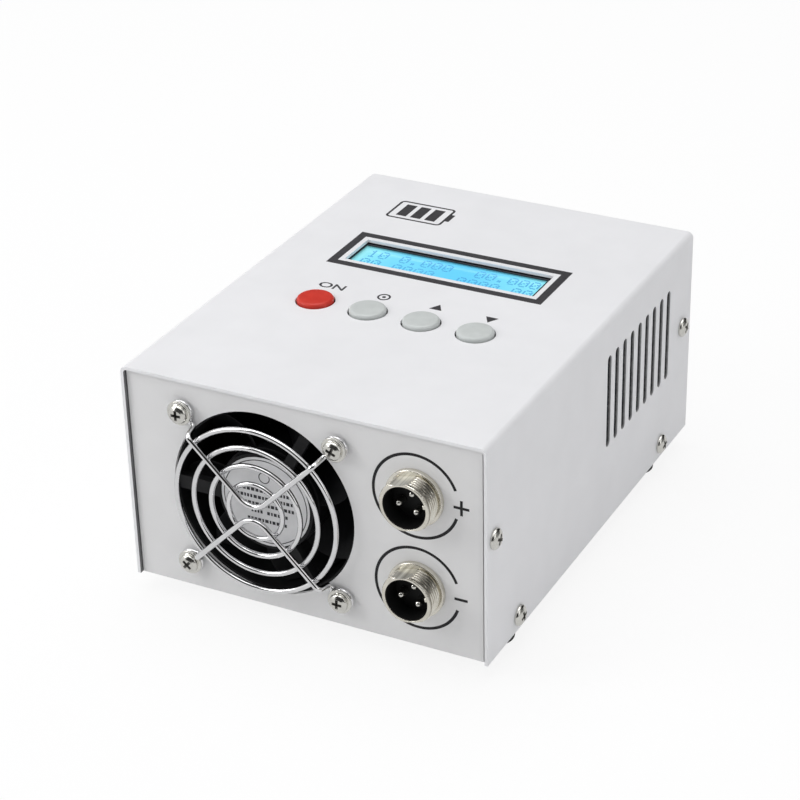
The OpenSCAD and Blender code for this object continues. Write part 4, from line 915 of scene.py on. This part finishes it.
def makeRotor():
    rotor = {"blades": 7, "root": 14.8 * mm, "tip": 28.2 * mm, "front": -5.15 * mm, "length": 16 * mm,
             "turn": 48, "lean": 16, "halfThick": 0.75 * mm, "hub": 16 * mm, "hubFront": -4.35 * mm,
             "hubBack": -25.05 * mm, "hole": 3.4 * mm, "wall": 1.6 * mm}
    across, along = 10, 14

    def bladeSpot(blade, side, i, j):
        # s runs from root to tip, t from the back to the front
        s, t = i / across, j / along
        radius = rotor["root"] + s * (rotor["tip"] - rotor["root"])
        angle = radians(360 * blade / rotor["blades"] + rotor["lean"] * s * s - rotor["turn"] * t)
        thinned = min(1.0, 4 * t + 0.25, 4 * (1 - t) + 0.25)
        thick = side * rotor["halfThick"] * (1 - s / 3) * thinned
        depth = rotor["front"] - rotor["length"] * (1 - t)
        return (radius * cos(angle) - thick * sin(angle),
                radius * sin(angle) + thick * cos(angle), depth)

    work = bmesh.new()
    for blade in range(rotor["blades"]):
        grid = {}
        for side in (-1, 1):
            for i in range(across + 1):
                for j in range(along + 1):
                    grid[side, i, j] = work.verts.new(bladeSpot(blade, side, i, j))
        for i in range(across):
            for j in range(along):
                for side in (-1, 1):
                    work.faces.new([grid[side, i + a, j + b] for a, b in ((0, 0), (1, 0), (1, 1), (0, 1))])
        rim = [(i, 0) for i in range(across)] + [(across, j) for j in range(along)]
        rim += [(i, along) for i in range(across, 0, -1)] + [(0, j) for j in range(along, 0, -1)]
        for a, b in zip(rim, rim[1:] + rim[:1]):
            work.faces.new([grid[-1, *a], grid[-1, *b], grid[1, *b], grid[1, *a]])
    blades = meshFrom(work, "blades", 40)
    inner, floor = rotor["hub"] - rotor["wall"], rotor["hubBack"] + rotor["wall"]
    hub = [(rotor["hole"], rotor["hubBack"], 0.1 * mm), (rotor["hub"], rotor["hubBack"], 1.2 * mm),
           (rotor["hub"], rotor["hubFront"], 0.3 * mm), (inner, rotor["hubFront"], 0.3 * mm),
           (inner, floor, 0.5 * mm), (rotor["hole"], floor, 0)]
    whole = joinMeshes("rotorBlades", [blades, turned("hubCup", hub, 96)])
    piece = newPiece("rotorBlades", whole, "bladePlastic")
    piece.data.transform(onPanel(fanCentre))
    settle(piece, "fan_plastic", "fan_impeller", body="fan_rotor")


# Sockets: turned shell with a cut thread, two flats and a key ridge

socket = {"thread": 8 * mm, "threadRows": 72, "root": 7.70 * mm, "pitch": 1.0 * mm, "cut": 0.5 * mm,
          "neck": 7.55 * mm, "flange": 8.8 * mm, "flangeHigh": 1.6 * mm, "seat": 0.05 * mm, "rear": -9 * mm,
          "rim": 7.2 * mm, "start": 2.15 * mm, "end": 6.6 * mm, "bore": 6.5 * mm, "mouth": 6.62 * mm,
          "mouthDeep": 1.22 * mm, "liner": 6.45 * mm, "linerTop": 6.85 * mm, "flats": 14 * mm,
          "flatAngle": 104, "ridgeAngle": 15, "ridgeFloor": 1.25 * mm,
          "ridge": Vector((1.2, 1.3, 5.8)) * mm}


def shellProfile():
    # radius and height of each point, and the share of thread and of flat that is cut there
    thread, high, rim, seat = socket["thread"], socket["flangeHigh"], socket["rim"], socket["seat"]
    start, end, rows, neck = socket["start"], socket["end"], socket["threadRows"], socket["neck"]
    profile = [(thread - 0.3 * mm, socket["rear"], 0, 1)]
    profile += [(thread, socket["rear"] + 0.3 * mm + k * 0.125 * mm, 1, 1) for k in range(66)]
    profile += [(thread, -0.1 * mm, 0, 1), (thread, seat, 0, 0)]
    flange = [(thread, seat, 0), (socket["flange"], seat, 0.1 * mm), (socket["flange"], high, 0.25 * mm),
              (neck, high, 0)]
    profile += [(*point, 0, 0) for point in rounded(flange)[1:-1]]
    profile += [(neck, high, 0, 1), (neck, start - 0.25 * mm, 0, 1)]
    profile += [(thread, start + (end - start) * k / rows, 1, 1) for k in range(rows + 1)]
    # the thread tapers off towards the rim
    profile += [(thread - 0.05 * mm * k, end + 0.04 * mm * k, 1, 1) for k in range(1, 14)]
    mouth = [(thread - 0.68 * mm, rim - 0.04 * mm, 0), (thread - 0.76 * mm, rim, 0.03 * mm),
             (socket["mouth"], rim, 0.1 * mm), (socket["mouth"], socket["mouthDeep"], 0),
             (socket["bore"], socket["mouthDeep"], 0), (socket["bore"], socket["rear"], 0)]
    return profile + [(*point, 0, 1) for point in rounded(mouth)]


def shellBase(meshName, profile):
    # the profile spun round, each vertex with the values of the profile point that it came from
    base = meshFrom(lathe([point[:2] for point in profile], 180, closed=True), meshName)
    levels = {}
    for radius, height, thread, milled in profile:
        levels.setdefault((round(height * 1e7), round(radius * 1e7)), (thread, milled))
    values = []
    for vert in base.vertices:
        key = (round(vert.co.z * 1e7), round(hypot(vert.co.x, vert.co.y) * 1e7))
        if key not in levels:
            key = min(levels, key=lambda level: abs(level[0] - key[0]) + abs(level[1] - key[1]))
        values.append(levels[key])
    for label, column in (("thread", 0), ("milled", 1)):
        made = base.attributes.new(label, "FLOAT", "POINT")
        for item, value in zip(made.data, values):
            item.value = value[column]
    return base


def keyRidge():
    # the small bar in the mouth that keys the plug
    work = bmesh.new()
    bmesh.ops.create_cube(work, size=1)
    place = Vector((socket["bore"] - 0.1 * mm, 0, socket["ridgeFloor"] + socket["ridge"].z / 2))
    bmesh.ops.scale(work, vec=socket["ridge"], verts=work.verts)
    bmesh.ops.translate(work, vec=place, verts=work.verts)
    bmesh.ops.bevel(work, geom=work.edges, offset=0.22 * mm, segments=3, affect="EDGES", profile=0.5)
    work.transform(turnBy(socket["ridgeAngle"]))
    return meshFrom(work, "ridge")


def markShell(mesh):
    # painted shade deep in the thread, and dull metal on the milled flats
    for finish in ("turnedNickel", "threadRoot", "milledNickel"):
        mesh.materials.append(finishes[finish])
    milled = turnBy(socket["flatAngle"]) @ Vector((1, 0, 0))
    low, high = socket["thread"] - 0.6 * mm, socket["root"]
    for face in mesh.polygons:
        spot = face.center
        radius = hypot(spot.x, spot.y)
        deep = low < radius < high and socket["start"] < spot.z < socket["end"]
        level = abs(face.normal.dot(milled)) > 0.98
        # faces deep in the thread take the dark finish: painted shade
        if deep and abs(spot.dot(milled)) < socket["flats"] / 2 - 0.03 * mm:
            face.material_index = 1
        elif level and spot.z > socket["flangeHigh"] and radius > socket["mouth"]:
            face.material_index = 2
    shadeUpTo(mesh, 34)


def makeSockets():
    tree, profile = threadTree(), shellProfile()
    sizes = {"Pitch": socket["pitch"], "Depth": socket["cut"], "Across Flats": socket["flats"],
             "Flat Angle": radians(socket["flatAngle"])}
    outer, floor = socket["mouth"] - 0.02 * mm, socket["mouthDeep"] + 0.02 * mm
    sleeve = [(outer, floor, 0), (outer, socket["linerTop"], 0.15 * mm),
              (socket["liner"], socket["linerTop"], 0.1 * mm), (socket["liner"], floor, 0)]
    for side, centre in socketCentres.items():
        name = side + "SocketShell"
        shell = growPiece(name, tree, shellBase(name, profile), "turnedNickel", sizes)
        shell.data = joinMeshes(name, [shell.data, keyRidge()])
        markShell(shell.data)
        shell.data.transform(onPanel(centre))
        settle(shell, "socket_nickel", side + "_socket_shell")
        insert = softCopy(side + "SocketInsert", side + "_socket_insert", "blackInsulator", 0.15 * mm)
        settle(insert, "socket_black", side + "_socket_insert")
        liner = newPiece(side + "SocketLiner", turned("liner", sleeve, 96), "blackInsulator")
        liner.data.transform(onPanel(centre))
        settle(liner, "socket_black")


# Keys: shallow caps with a rounded rim and a slight crown

def makeKeys():
    key = {"radius": 5.65 * mm, "rim": 0.95 * mm, "wall": 1.3 * mm, "roof": 1.5 * mm, "crown": 0.12 * mm}
    for name in keyNames:
        low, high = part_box(name + "_button")
        inner = key["radius"] - key["wall"]
        outline = [(0, high.z, 0), (key["radius"] * 0.5, high.z - key["crown"] * 0.3, 0),
                   (key["radius"], high.z - key["crown"], key["rim"]),
                   (key["radius"], low.z, 0.2 * mm), (inner, low.z, 0.2 * mm),
                   (inner, high.z - key["roof"], 0.6 * mm), (0, high.z - key["roof"], 0)]
        finish = "redKeyPlastic" if name == "on" else "greyKeyPlastic"
        cap = newPiece(name + "KeyCap", turned("cap", outline, 96, False, 7), finish)
        cap.data.transform(Matrix.Translation((keyCentres[name].x, keyCentres[name].y, 0)))
        slotName = "red_key" if name == "on" else "grey_key"
        settle(cap, slotName, name + "_button", body=name + "_key")


# Prints on the front panel, the cover and the fan's label

def printOn(pieceName, work, place, ink="printInk", extra=()):
    mesh = joinMeshes(pieceName, [meshFrom(work, "ink"), *extra])
    mesh.transform(place)
    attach(newPiece(pieceName, mesh, ink), "case")


def printFront():
    # broken rings round the sockets, with a plus and a minus sign
    front = {"ring": 13.12 * mm, "stroke": 0.9 * mm, "gap": (-18, 21), "plus": (14.0, -0.4, 4.8, 0.84),
             "minus": (13.6, -0.3, 4.1, 0.86)}
    for side, centre in socketCentres.items():
        work = bmesh.new()
        ribbon(work, arc(front["ring"], front["gap"][1], 360 + front["gap"][0], 120), front["stroke"])
        x, y, size, stroke = (value * mm for value in front["plus" if side == "positive" else "minus"])
        ribbon(work, [(x - size / 2, y), (x + size / 2, y)], stroke)
        if side == "positive":
            for way in (-1, 1):
                ribbon(work, [(x, y + way * stroke / 2), (x, y + way * size / 2)], stroke)
        printOn(side + "Print", work, onPanel(centre), "panelInk")


def printBorder():
    border = {"width": 70.35 * mm, "length": 21.6 * mm, "line": 2.72 * mm}
    work = bmesh.new()
    ribbon(work, box2d(border["width"], border["length"]), border["line"], closed=True)
    printOn("displayBorder", work, Matrix.Translation(windowCentre))


def printKeySigns():
    # a word, a ring with a dot and two arrows, above the keys
    labels = {"up": 10.6 * mm, "height": 3.6 * mm, "line": 0.62 * mm, "wordHigh": 1.30, "wordWide": 1.22,
              "ring": 0.5, "dot": 0.17, "arrow": 0.66}
    size = labels["height"]
    for name in keyNames:
        work, extra = bmesh.new(), []
        if name == "on":
            word = letteringMesh("ON", size * labels["wordHigh"], 0.015 * mm)
            word.transform(Matrix.Diagonal((labels["wordWide"], 1, 1, 1)))
            extra.append(word)
        elif name == "set":
            ribbon(work, circle(size * labels["ring"], 40), labels["line"], closed=True)
            patchOf(work, circle(size * labels["dot"], 20))
        else:
            way = 1 if name == "up" else -1
            corners = [radians(120 * k) for k in range(3)]
            arrow = [Vector((sin(a), way * cos(a))) * size * labels["arrow"] for a in corners]
            patchOf(work, arrow if way < 0 else arrow[::-1])
        place = Matrix.Translation((keyCentres[name].x, keyCentres[name].y + labels["up"], coverTop))
        printOn(name + "KeyPrint", work, place, extra=extra)


def printBattery():
    # a plain battery with three bars
    battery = {"x": -27.6 * mm, "y": 56.5 * mm, "width": 19 * mm, "height": 12.6 * mm, "line": 0.8 * mm,
               "corner": 1.2 * mm, "tip": 1.3 * mm, "tipHigh": 5.292 * mm, "bar": 3.6 * mm,
               "barPitch": 5.1 * mm, "barClear": 3.8 * mm}
    work = bmesh.new()
    corners = [(x, y, battery["corner"]) for x, y in box2d(battery["width"], battery["height"])]
    ribbon(work, rounded(corners, 6), battery["line"], closed=True)
    patchOf(work, box2d(battery["tip"], battery["tipHigh"], battery["width"] / 2 + 1.05 * mm))
    for k in range(3):
        patchOf(work, box2d(battery["bar"], battery["height"] - battery["barClear"],
                            (k - 1) * battery["barPitch"]))
    printOn("batterySign", work, Matrix.Translation((battery["x"], battery["y"], coverTop)))


def printLabel():
    # the motor label: two thin rings and rows of plain dashes, no lettering
    label = {"ring": 13.6 * mm, "line": 0.28 * mm, "small": 1.7 * mm, "smallUp": 8 * mm,
             "smallLine": 0.3 * mm, "dash": 1.05 * mm, "dashWidth": (0.55, 1.15), "gap": 0.36 * mm, "seed": 5}
    # height of each row, and its left and right end
    rows = ((3.4, -8.6, 8.8), (1.1, -9.4, 3.2), (1.1, 5.0, 9.2), (-1.2, -8.4, 8.6), (-3.6, -4.8, -1.6),
            (-3.6, 0.4, 6.6), (-6.4, -6.2, 6.4))
    pick = random.Random(label["seed"])
    work = bmesh.new()
    ribbon(work, circle(label["ring"], 96), label["line"], closed=True)
    small = [spot + Vector((0, label["smallUp"])) for spot in circle(label["small"], 32)]
    ribbon(work, small, label["smallLine"], closed=True)
    for y, left, right in rows:
        x = left * mm
        while x < right * mm:
            width = pick.uniform(*label["dashWidth"]) * mm
            patchOf(work, box2d(width, label["dash"], x + width / 2, y * mm))
            x += width + label["gap"]
    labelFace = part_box("fan_label")[0].y
    printOn("hubPrint", work, onPanel(Vector((fanCentre.x, labelFace, fanCentre.z))), "labelInk")


# Display: two rows of sixteen dot cells

digitDots = {
    "0": "01110 10001 10011 10101 11001 10001 01110",
    "1": "00100 01100 00100 00100 00100 00100 01110",
    ".": "00000 00000 00000 00000 00000 01100 01100",
    " ": "00000 00000 00000 00000 00000 00000 00000",
}


def dotsTree():
    tree, given = startTree("displayDots", {"Dot Width": "Float", "Dot Length": "Float",
                                            "Dot Height": "Float"})
    links = {"X": given["Dot Width"], "Y": given["Dot Length"], "Z": given["Dot Height"]}
    size = put(tree, "ShaderNodeCombineXYZ", links)
    block = put(tree, "GeometryNodeMeshCube", {"Size": size})
    placed = put(tree, "GeometryNodeInstanceOnPoints", {"Points": given["Geometry"], "Instance": block})
    return endTree(tree, placed, given, False)


def makeDisplay():
    cells = {"rows": ("10 0.000  00.000", "00 0000  0000.00"), "pitch": (3.72 * mm, 6.2 * mm),
             "dotPitch": (0.62 * mm, 0.70 * mm), "dot": (0.54 * mm, 0.62 * mm), "high": 0.02 * mm}
    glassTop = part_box("display_glass")[1].z
    places = []
    for row, text in enumerate(cells["rows"]):
        for column, sign in enumerate(text):
            for j, line in enumerate(digitDots[sign].split()):
                for i, dot in enumerate(line):
                    if dot == "1":
                        x = (column - 7.5) * cells["pitch"][0] + (i - 2) * cells["dotPitch"][0]
                        y = (0.5 - row) * cells["pitch"][1] + (3 - j) * cells["dotPitch"][1]
                        places.append((windowCentre.x + x, windowCentre.y + y, glassTop))
    sizes = {"Dot Width": cells["dot"][0], "Dot Length": cells["dot"][1], "Dot Height": cells["high"]}
    base = pointsMesh("dotPlaces", places)
    dots = growPiece("displayDots", dotsTree(), base, "displayDotInk", sizes)
    settle(dots, "display_cell")


makeCase()
print("case shells eased")
makeScrews()
makeFeet()
print("screws and feet placed")
makeGuard()
makeRotor()
print("fan guard and rotor built")
makeSockets()
print("sockets threaded")
makeKeys()
printFront()
printBorder()
printKeySigns()
printBattery()
printLabel()
makeDisplay()
print("keys, prints and display done")


# Camera and light

def placeCamera():
    view = {"place": (0.292255, -0.568743, coverLow.z + 0.382645), "turn": 26.3294, "tilt": 60.8764,
            "roll": -0.7102, "lens": 106.247, "sensor": 36.0, "shift": (-0.06534, 0.03050)}
    data = bpy.data.cameras.new("photoCamera")
    data.lens = view["lens"]
    data.sensor_width = view["sensor"]
    data.shift_x, data.shift_y = view["shift"]
    data.clip_start = 0.01
    camera = newObject("photoCamera", data)
    camera.matrix_world = Matrix.Translation(view["place"])
    for key, axis in (("turn", "Z"), ("tilt", "X"), ("roll", "Z")):
        camera.matrix_world = camera.matrix_world @ turnBy(view[key], axis)
    scene.camera = camera


def placeLights():
    # name: place, watts, size
    softboxes = {
        "overheadSoftbox": ((-0.15, 0.10, 1.30), 9.3, 1.1),
        "leftSoftbox": ((-1.0, -0.75, 0.75), 7.0, 0.7),
        "rightSoftbox": ((1.25, -0.25, 0.60), 2.65, 0.9),
    }
    target = Vector((0, 0, 0.035))
    for name, (place, watts, size) in softboxes.items():
        data = bpy.data.lights.new(name, "AREA")
        data.shape = "SQUARE"
        data.energy = watts
        data.size = size
        lamp = newObject(name, data)
        lamp.location = place
        lamp.rotation_euler = (target - Vector(place)).to_track_quat("-Z", "Y").to_euler()


def seenDirectly(tree, rays):
    # 1 for what the camera sees, through glass too
    return calc(tree, "MAXIMUM", rays["Is Camera Ray"], rays["Is Transmission Ray"])


def makeWorld():
    look = {"light": (0.98, 0.985, 1.0), "strength": 0.42, "room": 0.03, "ceilingEdge": (0.66, 0.80),
            "left": 0.9, "leftEdge": (-0.72, -0.58), "right": 0.2, "rightEdge": (0.70, 0.84)}
    scene.world = bpy.data.worlds.new("paleStudio")
    tree = emptyTree(scene.world)
    # what bright metal mirrors: a pale ceiling and side windows over a dark room
    place = put(tree, "ShaderNodeTexCoord").outputs["Generated"]
    x, z = (alongAxis(tree, place, axis) for axis in "XZ")
    ceiling = spread(tree, z, look["room"], 1.0, *look["ceilingEdge"])
    leftWindow = spread(tree, x, look["left"], 0.0, *look["leftEdge"])
    rightWindow = spread(tree, x, 0.0, look["right"], *look["rightEdge"])
    mirrored = calc(tree, "MAXIMUM", ceiling, calc(tree, "MAXIMUM", leftWindow, rightWindow))
    lights = ((look["light"], look["strength"]), ((1, 1, 1), mirrored), ((1, 1, 1), 1.0))
    dim, studio, white = (
        put(tree, "ShaderNodeBackground", {"Color": (*colour, 1), "Strength": strength})
        for colour, strength in lights)
    rays = put(tree, "ShaderNodeLightPath").outputs
    glossy = put(tree, "ShaderNodeMixShader", {0: rays["Is Glossy Ray"], 1: dim, 2: studio})
    mixed = put(tree, "ShaderNodeMixShader", {0: seenDirectly(tree, rays), 1: glossy, 2: white})
    put(tree, "ShaderNodeOutputWorld", {"Surface": mixed})


def makeFloor():
    # white floor that keeps a soft shadow under the case
    look = {"size": 6.0, "share": 0.87, "mirrored": 0.70}
    work = bmesh.new()
    bmesh.ops.create_grid(work, x_segments=1, y_segments=1, size=look["size"] / 2)
    mesh = keptMesh(work, "paleFloor")
    material = bpy.data.materials.new("paleFloor")
    tree = emptyTree(material)
    rays = put(tree, "ShaderNodeLightPath").outputs
    share = calc(tree, "MULTIPLY", calc(tree, "MAXIMUM", seenDirectly(tree, rays), rays["Is Glossy Ray"]),
                 look["share"])
    dimmed = calc(tree, "MULTIPLY", rays["Is Glossy Ray"], 1.0 - look["mirrored"])
    matte = put(tree, "ShaderNodeBsdfDiffuse", {"Color": (0.9, 0.9, 0.9, 1)})
    white = put(tree, "ShaderNodeEmission", {"Strength": calc(tree, "SUBTRACT", 1.0, dimmed)})
    mixed = put(tree, "ShaderNodeMixShader", {0: share, 1: matte, 2: white})
    put(tree, "ShaderNodeOutputMaterial", {"Surface": mixed})
    mesh.materials.append(material)
    newObject("paleFloor", mesh)


placeCamera()
placeLights()
makeWorld()
makeFloor()
print("camera and light placed")
